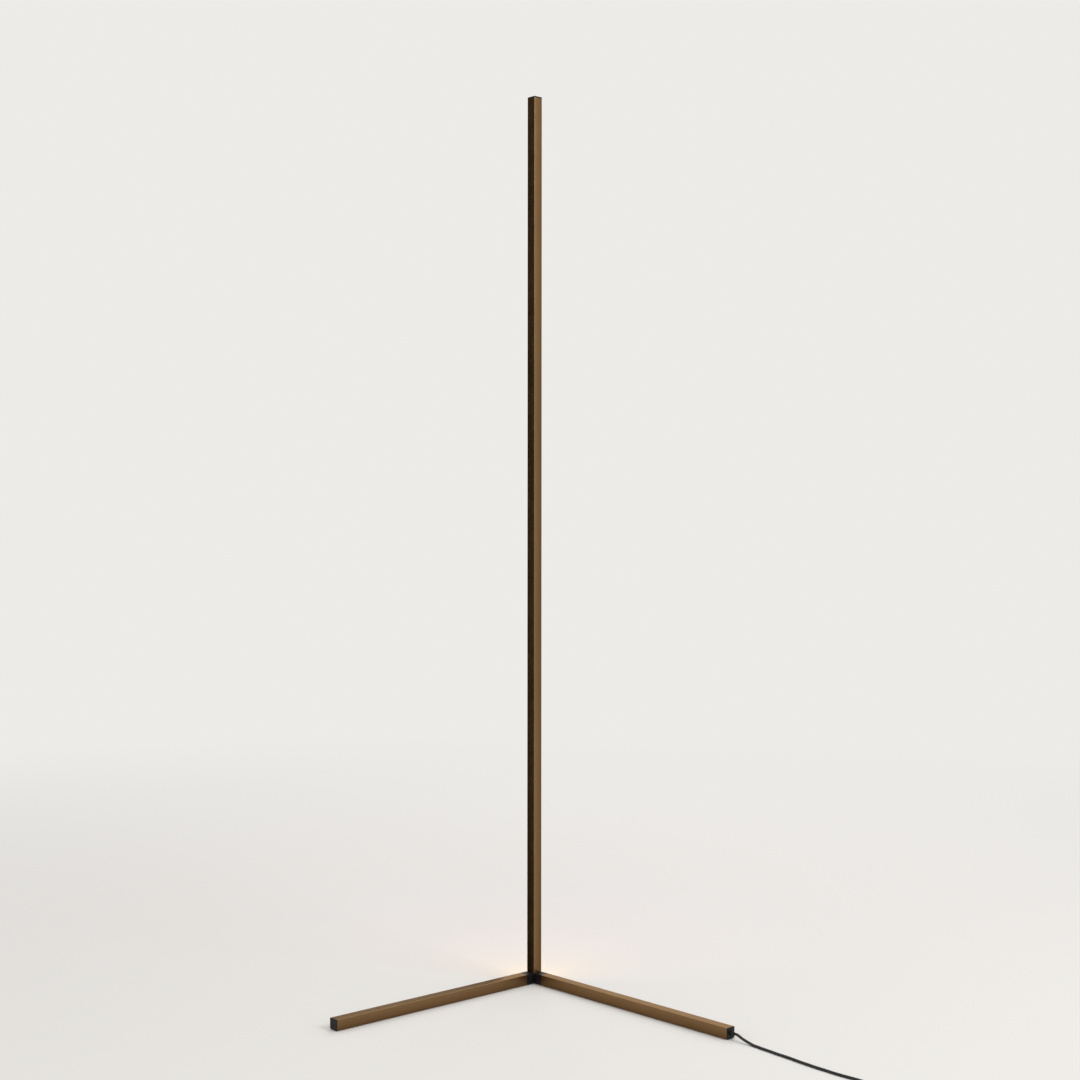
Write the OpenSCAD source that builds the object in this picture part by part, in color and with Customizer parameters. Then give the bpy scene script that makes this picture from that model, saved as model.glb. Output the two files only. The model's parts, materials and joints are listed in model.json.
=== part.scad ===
// Corner floor lamp: a square pole that stands on its corner edge, with a light channel in its
// back, on two square legs at a right angle. Millimetres, +Z up. The origin is on the floor,
// under the middle of the lamp's own box. The legs point to the front, -Y.

/* [Lamp] */
// Height from the floor to the top of the top cap
lamp_h = 1400; // [900:10:1800]
// Pole axis to the outer face of each leg's end cap
leg_reach = 400; // [250:5:600]
// Outside width of the pole and of the legs
bar_w = 16; // [15:0.5:22]
// Rounding of the bars' long outside edges
edge_r = 0.5; // [0.2:0.1:1]

/* [Pole profile] */
// Wall of the pole's two front faces
pole_wall = 1.2; // [1:0.1:1.6]
// Radius of the screw port that runs up the front edge
port_r = 1.45; // [1.35:0.05:1.7]
// Metal between the screw port and the light tape's seat
seat_wall = 1.1; // [0.8:0.1:1.6]
// Width of the lip at each free edge of the profile
lip_w = 0.8; // [0.5:0.1:1.2]
// Height of the lip above the wall
lip_h = 0.6; // [0.4:0.1:1]
// Depth of the groove that holds a foot of the cover
groove_d = 0.5; // [0.3:0.1:0.6]

/* [Light] */
// Wall of the milky cover
cover_wall = 1.2; // [0.8:0.1:1.6]
// Width of the light tape
tape_w = 8; // [6:0.5:8]
// Thickness of the light tape
tape_t = 0.3; // [0.2:0.1:0.5]
// Side of one light package
chip_w = 5; // [3:0.5:5]
// Height of one light package
chip_t = 1.6; // [0.8:0.1:2]
// Distance from one light package to the next
chip_pitch = 33.3; // [16.6:0.1:50]
// Height of the tape connector
clip_h = 14; // [10:1:20]

/* [Corner block] */
// Length of each arm of the block that shows
arm_len = 16; // [8:1:24]
// Length of the stub inside each leg
stub_len = 24; // [16:1:40]
// Height of the spigot inside the pole
spigot_h = 10; // [6:1:16]

/* [Legs] */
// Wall of the leg tubes
leg_wall = 1.2; // [1:0.1:1.6]
// Thickness of the end caps' face plate
leg_cap_t = 1.2; // [0.8:0.1:2]
// Length of the end caps' plug
plug_len = 9; // [6:1:14]
// Wall of the end caps' plug
plug_wall = 1.4; // [1:0.1:2]
// Diameter of a foot pad
pad_d = 8; // [6:0.5:8.5]
// Thickness of a foot pad
pad_t = 1.2; // [1:0.1:2]
// Leg's outer face to the middle of its foot pad
pad_inset = 16; // [12:1:40]

/* [Caps and fits] */
// Thickness of the top cap's plate
top_cap_t = 2; // [1.2:0.1:3]
// Bevel round the outer edges of the end caps and of the top cap
cap_bevel = 0.3; // [0.1:0.1:0.5]
// Depth of the top cap's plug
top_plug = 6; // [4:1:10]
// Clearance of pieces that push into each other
fit_gap = 0.1; // [0.05:0.05:0.2]
// Clearance round the lead
lead_gap = 0.3; // [0.2:0.05:0.4]
// Height of the shadow line on the rim of a moulded shell
seam_h = 0.25; // [0.15:0.05:0.4]
// Depth of that shadow line
seam_depth = 0.4; // [0.2:0.05:0.6]

/* [Screws] */
// Radius of the countersunk head of the pole's screw
pole_head_r = 3.2; // [2.8:0.1:3.3]
// Bite of the pole's screw in the screw port
pole_bite = 12; // [8:1:20]
// Radius of the countersunk heads of the legs' screws
leg_head_r = 2.6; // [2.2:0.1:3]
// Core radius of the legs' screws
leg_screw_r = 1.25; // [1:0.05:1.4]
// Length of the legs' screws
leg_screw_l = 4.6; // [4:0.1:5]

/* [Cord] */
// Diameter of the cord
cord_d = 4; // [3.6:0.1:4.2]
// Diameter of the bare lead inside the leg
lead_d = 3; // [2.4:0.1:3.2]
// Length of the grommet's nose outside the cap
nose_len = 6; // [4:1:10]
// Radius of the lead's bend inside the corner block
lead_bend = 7; // [5:0.5:8]
// Radius of the coil at the middle of its turns
coil_r = 24; // [22:0.5:28]
// Gap from turn to turn, and from layer to layer
turn_gap = 0.5; // [0.45:0.05:0.8]

/* [Controller] */
// Length of the in-line controller
ctl_l = 62; // [60:1:80]
// Width of the in-line controller
ctl_w = 21; // [20:0.5:26]
// Height of the in-line controller
ctl_h = 12.5; // [12:0.1:15]
// Wall of the controller's shells
ctl_wall = 1.6; // [1.2:0.1:2]
// Plan radius of the controller's corners
ctl_corner = 5; // [3:0.5:8]
// Rounding of the controller's upper and lower edges
ctl_round = 1.8; // [1:0.1:2.4]
// Radius of a key
key_r = 3.4; // [2.8:0.1:4]
// Distance from key to key
key_pitch = 12; // [11:0.5:13]
// Travel of a key
key_travel = 0.5; // [0.3:0.1:0.6]
// Height of a key above the cover
key_proud = 0.9; // [0.7:0.1:1.4]
// Gap between a key and its hole
key_gap = 0.1; // [0.05:0.01:0.1]
// Length of a boot's nose
boot_len = 9; // [6:1:14]

/* [Adapter] */
// Length of the plug-in adapter
adp_l = 60; // [50:1:76]
// Width of the plug-in adapter
adp_w = 36; // [32:1:46]
// Height of the adapter's case and face together
adp_h = 26; // [22:1:34]
// Wall of the adapter's shells
adp_wall = 2; // [1.6:0.1:2.6]
// Plan radius of the adapter's corners
adp_corner = 5; // [4:0.5:8]
// Rounding of the adapter's upper and lower edges
adp_round = 2; // [1:0.1:3]
// Height of the face shell, with the blades
face_h = 6; // [5:0.5:8]
// Number of finger grooves in each long side of the case
grip_count = 5; // [3:1:6]
// Distance from one finger groove to the next
grip_pitch = 3.6; // [3.2:0.1:4.2]
// Depth of a finger groove
grip_depth = 0.6; // [0.3:0.1:0.8]
// Distance between the two blades' middles
blade_pitch = 12.7; // [12.7]
// Width of a blade
blade_w = 6.35; // [6.35]
// Thickness of a blade
blade_t = 1.52; // [1.52]
// Length of a blade in front of the face
blade_l = 16; // [15:0.5:18]

/* [Hidden] */
$fn = 48;
eps = 0.01;
diag = sqrt(2);

// Heights: the bars lie on the pads, the pole stands on the block.
bar_z = pad_t + bar_w / 2;
block_top = pad_t + bar_w;
pole_top = lamp_h - top_cap_t;
pole_l = pole_top - block_top;

// Distances along the pole's diagonal, from its front edge to the back.
half_diag = bar_w / diag;
port_p = (port_r + pole_wall) * diag;
seat_p = port_p + port_r + seat_wall;

// The cover is a quarter ring about the pole's front edge, just inside the lips.
cover_ro = bar_w - lip_w - fit_gap;
cover_ri = cover_ro - cover_wall;
outline_r = norm([bar_w, pole_wall + lip_h]);
foot_in = sqrt(pow(cover_ri, 2) - pow(pole_wall, 2));
toe_l = 1;
toe_t = 0.3;
toe_out = foot_in + cover_wall / 2;

// The lamp's own box is centred on the origin: the legs reach forward, the cap's arc back.
leg_front = (leg_reach + bar_w / 2) / diag;
pole_back = outline_r - half_diag;
pole_y = (leg_front - pole_back) / 2;
seat_y = pole_y - half_diag + seat_p;

// Things on the seat, seen from the back of the pole.
seat_half = seat_p - pole_wall * diag;
spigot_half = seat_half - 0.4;
spigot_t = 4.6;
lead_off = 1;
lead_r = lead_d / 2;
clip_z = block_top + spigot_h + 2;
clip_t = 6;
clip_chamfer = 1;
clip_foot = 3;
tape_z0 = clip_z + clip_foot;
tape_z1 = pole_top - top_plug - 3;
chip_z0 = clip_z + clip_h + chip_w;
chip_count = floor((tape_z1 - chip_w - chip_z0) / chip_pitch) + 1;
chip_well_d = chip_w * 0.8;
chip_well_t = 0.3;

// Block and legs, along a leg from the pole's axis outwards.
arm_end = bar_w / 2 + arm_len;
tube_in = bar_w - 2 * leg_wall;
plug_w = tube_in - 2 * fit_gap;
stub_end = arm_end + stub_len;
leg_end = leg_reach - leg_cap_t;
leg_screw_x = arm_end + stub_len / 2;
screw_gap = 0.3;
pocket_rib = 1.75;
pocket_d = 1.6;
crush_rib_w = 0.8;
crush_rib_inset = 2;
pad_chamfer = 0.4;

// Countersunk screws: height of the head's cone for each mm of its radius, and the cross slot.
cone = 0.9;
slot_w = 0.18;
slot_d = 0.7;

// Grommet and stop in the right leg's cap.
cord_r = cord_d / 2;
neck_r = cord_r + 1;
flange_r = cord_r + 2.2;
flange_t = 1.4;
nose_r = cord_r + 0.45;
collar = 0.3;
collar_l = 1;
stop_r = cord_r + 1.4;
stop_l = 5;
crimp_d = 0.4;
crimp_w = 1.2;
strip_x = leg_end - flange_t - stop_l - 2;

// Controller, in its own frame: x along the cord, z up from the floor.
ctl_split = 6;
board_z = 4;
board_t = 1.6;
board_l = ctl_l - 20;
board_w = ctl_w - 6;
post_inset = 3;
post_r = 1.4;
post_root = 0.5;
key_x = [for (i = [-1:1]) i * key_pitch - 4];
switch_h = 2.4;
switch_w = 6;
well_r = 1.6;
well_d = key_travel + 0.7;
stem_r = well_r - 0.1;
stem_reach = 0.4;
key_flange_t = 0.8;
key_flange_r = key_r + 0.8;
key_chamfer = 0.6;
window_x = key_x[2] + key_pitch + 0.5;
window_r = 2.4;
window_flange = 0.8;
window_proud = 0.6;
ctl_screw_x = ctl_l / 2 - 7;
ctl_screw_y = ctl_w / 2 - 4.5;
ctl_screw_at = [[-ctl_screw_x, ctl_screw_y, 0], [ctl_screw_x, -ctl_screw_y, 0]];
ctl_screw_r = 1;
ctl_screw_bite = 3;
ctl_head_r = 1.9;
ctl_head_t = 1.2;
ctl_head_z = 0.4;
ctl_boss_r = 2.3;
DRIVER_CHIP = [4, 4, 1.2];
FLASH_CHIP = [2.6, 4, 1];

// Boots, on the controller and on the adapter.
boot_neck_r = cord_r + 0.9;
boot_flange_r = cord_r + 1.4;
boot_flange_t = 1;
boot_collar_r = boot_neck_r + 0.4;
boot_collar_l = 1.2;
boot_end_r = cord_r + 0.4;
boot_rings = 3;
boot_groove_d = 0.45;

// Adapter, in its own frame: x along the cord, which comes in at the low x end.
case_h = adp_h - face_h;
adp_cord_z = 8.5;
adp_board_gap = 3;
adp_board_z = adp_wall + adp_board_gap;
adp_board_x = -adp_l / 2 + adp_wall + 4;
adp_board_l = adp_l - 2 * adp_wall - 6;
adp_board_w = adp_w - 2 * adp_wall - 2;
TRANSFORMER = [16, 16, 11];
can_r = 4;
can_h = 9;
blade_x = adp_l / 4;
blade_foot = 1;
blade_foot_t = 1.4;
blade_hole_r = 1.6;
blade_hole_tip = 4;
grip_r = 1.5;
grip_end = 4.5;
grip_x = blade_x - (grip_count - 1) * grip_pitch / 2;

// The cord's route, chosen by hand: each point is x and y from where the stretch starts, and
// its height as a share of the height of the stretch's nearer end, 0 being on the floor.
exit_x = (leg_reach + nose_len) / diag;
exit_y = pole_y - exit_x;
RUN_BY_HAND = [
    [0, 0, 1], [3, -3, 1], [8, -9, 0.7], [13, -15, 0.4], [19, -22, 0.15], [25, -30, 0],
    [32, -39, 0], [39, -48, 0], [47, -58, 0], [54, -67, 0], [62, -76, 0], [70, -86, 0],
    [79, -98, 0], [88, -109, 0], [98, -121, 0], [108, -132, 0], [118, -143, 0],
    [128, -153, 0], [138, -162, 0], [148, -172, 0], [156, -184, 0], [160, -197, 0],
    [159, -210, 0], [153, -222, 0], [143, -232, 0.1], [131, -238, 0.35],
    [120, -240, 0.75], [112, -240, 1], [107, -240, 1]
];
LINK_BY_HAND = [
    [0, 0, 1], [-5, 0, 1], [-11, 0, 0.8], [-17, 0, 0.5],
    [-23, 0, 0], [-29, 0, 0], [-35, 0, 0], [-40, 0, 0]
];
TAIL_BY_HAND = [
    [0, 0, 1], [3, 0, 1], [6, 0, 0.97], [12, -0.5, 0.85], [19, -1.5, 0.63], [26, -3, 0.38],
    [33, -5.5, 0.16], [40, -8.5, 0.03], [47, -11, 0], [54, -13, 0.3], [60, -14, 0.8],
    [65, -14, 1], [69, -14, 1]
];
run_start = [exit_x, exit_y];
RUN = laid(RUN_BY_HAND, run_start, bar_z, ctl_split);
run_end = RUN[len(RUN) - 1];
ctl_at = [run_end[0] - boot_len - ctl_l / 2, run_end[1], 0];
link_start = [ctl_at[0] - ctl_l / 2 - boot_len, ctl_at[1]];
LINK = laid(LINK_BY_HAND, link_start, ctl_split, cord_r);
link_end = LINK[len(LINK) - 1];
turn_pitch = cord_d + turn_gap;
coil_turns = 8.5;
loop_rings = 24;
coil_lead = 12;
coil_at = [link_end[0] - coil_lead, link_end[1] - coil_r - turn_pitch];
coil_end = coil_point(coil_turns) + [coil_lead, 0, 0];
TAIL = laid(TAIL_BY_HAND, coil_end, coil_end[2], adp_cord_z);
tail_end = TAIL[len(TAIL) - 1];
adp_at = [tail_end[0] + boot_len + adp_l / 2, tail_end[1], 0];

// ---------------------------------------------------------------- helpers

// Places children in the pole's frame: u to the back right, v to the back left.
module on_pole() {
    translate([0, pole_y, 0])
        rotate(45)
            children();
}

// Places children on a leg: x outwards from the pole's axis, z up from the bars' axis.
module on_leg(side) {
    on_pole()
        translate([0, 0, bar_z])
            rotate(side == "left" ? 180 : -90)
                children();
}

// Runs a flat outline along x, with its own x to y and its own y to z.
module along_x(x0, x1) {
    translate([x0, 0, 0])
        rotate([90, 0, 90])
            linear_extrude(x1 - x0)
                children();
}

module rounded_square(w, r) {
    square([w, w - 2 * r], center = true);
    square([w - 2 * r, w], center = true);
    for (x = [-1, 1], y = [-1, 1])
        translate([x, y] * (w / 2 - r))
            circle(r);
}

// Repeats a flat outline on both walls of the pole's profile.
module both_walls() {
    children();
    mirror([1, -1])
        children();
}

// A shell's outside: straight sides, round corners in plan and one rounded edge, at the top.
module soft_block(l, w, h, corner, round_r) {
    for (x = [-1, 1], y = [-1, 1])
        translate([x * (l / 2 - corner), y * (w / 2 - corner), 0])
            rotate_extrude()
                soft_profile(corner, h, round_r);
    along_x(-l / 2 + corner, l / 2 - corner)
        soft_slice(w, h, round_r);
    rotate(90)
        along_x(-w / 2 + corner, w / 2 - corner)
            soft_slice(l, h, round_r);
}

module soft_profile(r, h, round_r) {
    square([r, h - round_r]);
    square([r - round_r, h]);
    translate([r - round_r, h - round_r])
        intersection() {
            circle(round_r);
            square(round_r);
        }
}

module soft_slice(w, h, round_r) {
    soft_profile(w / 2, h, round_r);
    mirror([1, 0])
        soft_profile(w / 2, h, round_r);
}

// A countersunk screw, head down at z = 0, pointing up.
module flat_screw(head_r, core_r, l) {
    difference() {
        union() {
            cylinder(h = (head_r - core_r) * cone, r1 = head_r, r2 = core_r);
            cylinder(h = l, r = core_r);
        }
        for (a = [0, 90])
            rotate(a)
                cube([head_r, head_r * slot_w, 2 * (head_r - core_r) * cone * slot_d],
                    center = true);
    }
}

// The room that a countersunk head needs in the piece that it holds.
module flat_screw_seat(head_r, core_r, hole_r, depth) {
    cylinder(h = (head_r - core_r) * cone, r1 = head_r, r2 = core_r);
    translate([0, 0, -1])
        cylinder(h = 1 + eps, r = head_r);
    cylinder(h = depth, r = hole_r);
}

// ---------------------------------------------------------------- cord functions

function unit(v) = v / norm(v);

function heading(p, i) =
    unit(p[min(i + 1, len(p) - 1)] - p[max(i - 1, 0)]);

function ring_at(p, i, r, sides) =
    let (t = heading(p, i), s = unit(cross(t, [0, 0, 1])), n = cross(s, t))
    [for (k = [0:sides - 1]) p[i] + r * (cos(360 * k / sides) * s + sin(360 * k / sides) * n)];

function tube_faces(rings, sides) = concat(
    [for (i = [0:rings - 2], k = [0:sides - 1])
        [i * sides + k, (i + 1) * sides + k, (i + 1) * sides + (k + 1) % sides]],
    [for (i = [0:rings - 2], k = [0:sides - 1])
        [i * sides + k, (i + 1) * sides + (k + 1) % sides, i * sides + (k + 1) % sides]],
    [for (k = [1:sides - 2]) [0, k, k + 1]],
    [for (k = [1:sides - 2]) [0, k + 1, k] + [1, 1, 1] * (rings - 1) * sides]
);

module tube(p, r, sides) {
    points = [for (i = [0:len(p) - 1]) each ring_at(p, i, r, sides)];
    polyhedron(points, tube_faces(len(p), sides));
}

// The coil's radius falls and grows at a steady rate, two turns a layer, from the outside in.
function coil_step(t) =
    let (u = t - 4 * floor(t / 4))
    t > 8 ? 8 - t : min(u, 4 - u);

// Each layer is climbed in the half turn where the spiral turns back.
function climb(t) = let (s = min(max(t * 2 + 0.5, 0), 1)) s * s * (3 - 2 * s);

function coil_point(t) =
    let (r = coil_r + turn_pitch * (1 - coil_step(t)), a = 90 + 360 * t)
    [coil_at[0] + r * cos(a), coil_at[1] + r * sin(a),
     cord_r + turn_pitch * (climb(t - 2) + climb(t - 4) + climb(t - 6))];

COIL = concat(
    [for (i = [3:-1:1]) coil_point(0) + [coil_lead * i / 3, 0, 0]],
    [for (i = [0:coil_turns * loop_rings]) coil_point(i / loop_rings)],
    [for (i = [1:3]) coil_point(coil_turns) + [coil_lead * i / 3, 0, 0]]
);

// Points of a stretch: each height is a share of its nearer end's height over the floor.
function laid(route, at, z_start, z_end) =
    [for (i = [0:len(route) - 1])
        let (p = route[i], high = i < len(route) / 2 ? z_start : z_end)
        [at[0] + p[0], at[1] + p[1], cord_r + p[2] * (high - cord_r)]];

// Least gap of the coil to itself: turns lie at least half a turn apart along the cord.
function coil_gap() = min([for (i = [0:2:coil_turns * loop_rings])
    for (j = [i + loop_rings / 2:coil_turns * loop_rings])
        norm(coil_point(i / loop_rings) - coil_point(j / loop_rings))]) - cord_d;

function route_length(p) = len(p) < 2 ? 0
    : sum([for (i = [1:len(p) - 1]) norm(p[i] - p[i - 1])]);

function sum(v) = v * [for (x = v) 1];

// ---------------------------------------------------------------- pole

// Flat profiles are drawn from the pole's front edge, then moved to its axis.
module pole_outline() {
    intersection() {
        translate([1, 1] * bar_w / 2)
            rounded_square(bar_w, edge_r);
        circle(outline_r);
    }
}

module pole_profile() {
    intersection() {
        pole_outline();
        difference() {
            union() {
                square([bar_w, pole_wall]);
                square([pole_wall, bar_w]);
                polygon([[0, 0], [seat_p * diag, 0], [0, seat_p * diag]]);
                both_walls()
                    translate([bar_w - lip_w, 0])
                        square([lip_w, pole_wall + lip_h]);
            }
            translate([1, 1] * port_p / diag)
                circle(port_r);
            both_walls()
                translate([foot_in - toe_l - fit_gap, pole_wall - groove_d])
                    square([toe_out - foot_in + toe_l + 2 * fit_gap, groove_d + eps]);
        }
    }
}

module cover_profile() {
    toe = [toe_out - foot_in + toe_l, groove_d + toe_t];
    intersection() {
        difference() {
            circle(cover_ro);
            circle(cover_ri);
        }
        translate([1, 1] * pole_wall)
            square(bar_w);
    }
    translate([foot_in - toe_l, pole_wall - groove_d])
        square(toe);
    translate([pole_wall - groove_d, foot_in - toe_l])
        square([toe[1], toe[0]]);
}

module raise_profile(z, l) {
    on_pole()
        translate([-bar_w / 2, -bar_w / 2, z])
            linear_extrude(l)
                children();
}

module pole() {
    color("#8a6a42")
        raise_profile(block_top, pole_l)
            pole_profile();
}

module pole_cover() {
    color("#f2f1ec")
        raise_profile(block_top, pole_l)
            cover_profile();
}

module top_cap() {
    color("#17130f") {
        difference() {
            raise_profile(pole_top, top_cap_t)
                pole_outline();
            top_bevels();
        }
        translate([-spigot_half, seat_y, pole_top - top_plug])
            cube([2 * spigot_half, spigot_t, top_plug + top_cap_t / 2]);
        on_port()
            translate([0, 0, pole_top - top_plug])
                cylinder(h = top_plug + top_cap_t / 2, r = port_r);
    }
}

// What the top cap's plate loses at its upper edges: two straight ones and the arc behind.
module top_bevels() {
    bevel_w = cap_bevel * diag;
    on_pole()
        translate([0, 0, lamp_h]) {
            for (a = [0, -90])
                rotate(a)
                    translate([0, -bar_w / 2, 0])
                        rotate([45, 0, 0])
                            cube([bar_w + 1, bevel_w, bevel_w], center = true);
            translate([-bar_w / 2, -bar_w / 2, 0])
                rotate_extrude()
                    polygon([
                        [outline_r - cap_bevel - eps, eps], [outline_r + 1, eps],
                        [outline_r + 1, -cap_bevel - 1]
                    ]);
        }
}

module led_tape() {
    color("#f6f6f2")
        translate([-tape_w / 2, seat_y, tape_z0])
            cube([tape_w, tape_t, tape_z1 - tape_z0]);
}

module led_chips() {
    color("#f4e9a8")
        for (i = [0:chip_count - 1])
            translate([0, seat_y + tape_t, chip_z0 + i * chip_pitch])
                difference() {
                    translate([-chip_w / 2, 0, -chip_w / 2])
                        cube([chip_w, chip_t, chip_w]);
                    translate([0, chip_t, 0])
                        rotate([90, 0, 0])
                            cylinder(h = 2 * chip_well_t, d = chip_well_d, center = true);
                }
}

module tape_connector() {
    color("#e9e9e4")
        difference() {
            translate([-spigot_half, seat_y, clip_z])
                cube([2 * spigot_half, clip_t, clip_h]);
            translate([-tape_w / 2, seat_y - eps, tape_z0])
                cube([tape_w, tape_t + eps, clip_h]);
            for (x = [-1, 1])
                translate([x * spigot_half, seat_y + clip_t, clip_z])
                    rotate(45)
                        cube([clip_chamfer * diag, clip_chamfer * diag, 3 * clip_h], center = true);
        }
}

// ---------------------------------------------------------------- corner block and legs

// The lead's way: in along the right leg, round the bend and up behind the seat.
module lead_way(r, from_x, to_z) {
    on_leg("right") {
        rotate([0, 90, 0])
            translate([0, 0, lead_bend + lead_off])
                cylinder(h = from_x - lead_bend - lead_off, r = r);
        translate([lead_bend + lead_off, 0, lead_bend])
            rotate([90, 180, 0])
                rotate_extrude(angle = 90)
                    translate([lead_bend, 0])
                        circle(r);
        translate([lead_off, 0, lead_bend])
            cylinder(h = to_z - bar_z - lead_bend, r = r);
    }
}

module block_stub() {
    along_x(arm_end, stub_end)
        square(plug_w, center = true);
}

// Two pockets in each side of a stub, between its ribs.
module stub_pockets() {
    pocket_l = stub_len / 2 - 2 * pocket_rib;
    for (y = [-1, 1], x = [0.25, 0.75])
        translate([arm_end + x * stub_len, y * plug_w / 2, 0])
            cube([pocket_l, 2 * pocket_d, plug_w / 2], center = true);
}

module corner_block() {
    color("#141414")
        difference() {
            union() {
                raise_profile(pad_t, bar_w)
                    pole_outline();
                for (side = ["left", "right"])
                    on_leg(side) {
                        along_x(0, arm_end)
                            rounded_square(bar_w, edge_r);
                        block_stub();
                    }
                translate([-spigot_half, seat_y, block_top])
                    cube([2 * spigot_half, spigot_t, spigot_h]);
            }
            for (side = ["left", "right"])
                on_leg(side) {
                    stub_pockets();
                    translate([leg_screw_x, 0, -bar_w / 2])
                        cylinder(h = leg_screw_l, r = leg_screw_r);
                }
            lead_way(lead_r + lead_gap, stub_end + 1, block_top + spigot_h + 1);
            on_port()
                translate([0, 0, pad_t])
                    flat_screw_seat(pole_head_r, port_r, port_r + screw_gap, bar_w + eps);
            block_back_trim();
        }
}

// Cuts the arms' inner half back to the pole's quarter-round back.
module block_back_trim() {
    on_pole()
        translate([-bar_w / 2, -bar_w / 2, pad_t - 1])
            linear_extrude(bar_w + 1)
                difference() {
                    square(2 * bar_w);
                    circle(outline_r);
                }
}

module on_port() {
    on_pole()
        translate([port_p / diag - bar_w / 2, port_p / diag - bar_w / 2, 0])
            children();
}

module pole_screw() {
    color("#9a9a98")
        on_port()
            translate([0, 0, pad_t])
                flat_screw(pole_head_r, port_r, bar_w + pole_bite);
}

module leg_tube(side) {
    on_leg(side)
        difference() {
            along_x(arm_end, leg_end)
                difference() {
                    rounded_square(bar_w, edge_r);
                    square(tube_in, center = true);
                }
            translate([leg_screw_x, 0, -bar_w / 2])
                flat_screw_seat(leg_head_r, leg_screw_r, leg_screw_r + fit_gap, leg_wall + 1);
        }
}

module left_leg() {
    color("#8a6a42")
        leg_tube("left");
}

module right_leg() {
    color("#8a6a42")
        leg_tube("right");
}

module leg_screws() {
    color("#9a9a98")
        for (side = ["left", "right"])
            on_leg(side)
                translate([leg_screw_x, 0, -bar_w / 2])
                    flat_screw(leg_head_r, leg_screw_r, leg_screw_l);
}

// Face plate, hollow plug and the small ribs that hold it in the tube.
module leg_cap(side) {
    on_leg(side) {
        difference() {
            along_x(leg_end, leg_reach)
                rounded_square(bar_w, edge_r);
            plate_bevels();
        }
        along_x(leg_end - plug_len, leg_end)
            difference() {
                square(plug_w, center = true);
                square(plug_w - 2 * plug_wall, center = true);
            }
        for (a = [0:90:270], s = [-1, 1])
            rotate([a, 0, 0])
                translate([leg_end - plug_len + crush_rib_inset, s * plug_w / 4, plug_w / 2])
                    translate([0, -crush_rib_w / 2, 0])
                        cube([plug_len - crush_rib_inset, crush_rib_w, fit_gap]);
    }
}

// What a leg cap's face plate loses at its four outer edges.
module plate_bevels() {
    bevel_w = cap_bevel * diag;
    for (a = [0:90:270])
        rotate([a, 0, 0])
            translate([leg_reach, 0, bar_w / 2])
                rotate([0, 45, 0])
                    cube([bevel_w, bar_w + 1, bevel_w], center = true);
}

module left_leg_cap() {
    color("#101010")
        leg_cap("left");
}

module right_leg_cap() {
    color("#101010")
        difference() {
            leg_cap("right");
            on_leg("right")
                translate([leg_end - eps, 0, 0])
                    rotate([0, 90, 0])
                        cylinder(h = leg_cap_t + 2 * eps, r = neck_r);
        }
}

// Foot pads: under each leg and under the block.
module foot_pads() {
    color("#1c1c1c") {
        for (side = ["left", "right"])
            on_leg(side)
                translate([leg_reach - pad_inset, 0, -bar_z])
                    pad();
        on_pole()
            pad();
    }
}

module pad() {
    rotate_extrude()
        polygon([
            [0, 0], [pad_d / 2 - pad_chamfer, 0], [pad_d / 2, pad_chamfer], [pad_d / 2, pad_t],
            [0, pad_t]
        ]);
}

// ---------------------------------------------------------------- cord through the right leg

module on_exit() {
    on_leg("right")
        rotate([0, 90, 0])
            children();
}

module cord_grommet() {
    color("#0e0e0e")
        on_exit()
            rotate_extrude()
                polygon([
                    [cord_r, leg_end - flange_t], [flange_r, leg_end - flange_t],
                    [flange_r, leg_end], [neck_r, leg_end], [neck_r, leg_reach],
                    [neck_r + collar, leg_reach], [neck_r + collar, leg_reach + collar_l],
                    [nose_r, leg_reach + nose_len], [cord_r, leg_reach + nose_len]
                ]);
}

module cord_stop() {
    color("#b8b8b4")
        on_exit()
            translate([0, 0, leg_end - flange_t - stop_l])
                difference() {
                    cylinder(h = stop_l, r = stop_r);
                    translate([0, 0, -1])
                        cylinder(h = stop_l + 2, r = cord_r);
                    for (a = [0:60:300])
                        rotate(a)
                            translate([stop_r, 0, stop_l / 2])
                                cube([2 * crimp_d, crimp_w, stop_l - 2], center = true);
                }
}

module inner_lead() {
    color("#0e0e0e") {
        lead_way(lead_r, strip_x, clip_z);
        on_exit()
            translate([0, 0, strip_x])
                cylinder(h = leg_reach + nose_len - strip_x, r = cord_r);
    }
}

module cord_run() {
    color("#0e0e0e")
        tube(RUN, cord_r, 8);
}

module cord_link() {
    color("#0e0e0e")
        tube(LINK, cord_r, 8);
}

module cord_coil() {
    color("#0e0e0e")
        tube(COIL, cord_r, 6);
}

module cord_tail() {
    color("#0e0e0e")
        tube(TAIL, cord_r, 8);
}

// ---------------------------------------------------------------- controller

module on_controller() {
    translate(ctl_at)
        rotate(180)
            children();
}

// An open shell, rim down: walls and a roof with a rounded edge, inside and out.
module open_shell(l, w, h, wall, corner, round_r) {
    inside_corner = corner - wall;
    difference() {
        soft_block(l, w, h, corner, round_r);
        soft_block(l - 2 * wall, w - 2 * wall, h - wall, inside_corner,
            min(round_r, inside_corner) / 2);
        rim_step(l, w, corner);
    }
}

// What a shell's rim loses outside, so that two rims leave a shadow line between them.
module rim_step(l, w, corner) {
    difference() {
        translate([-l / 2 - 1, -w / 2 - 1, -1])
            cube([l + 2, w + 2, 1 + seam_h]);
        translate([0, 0, -2])
            soft_block(l - 2 * seam_depth, w - 2 * seam_depth, 4, corner - seam_depth, 1);
    }
}

// Round ways for the two boots, cut half in each shell.
module boot_ways() {
    for (s = [-1, 1])
        translate([s * ctl_l / 2, 0, ctl_split])
            rotate([0, 90, 0])
                cylinder(h = 4 * ctl_wall, r = boot_neck_r, center = true);
}

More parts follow.
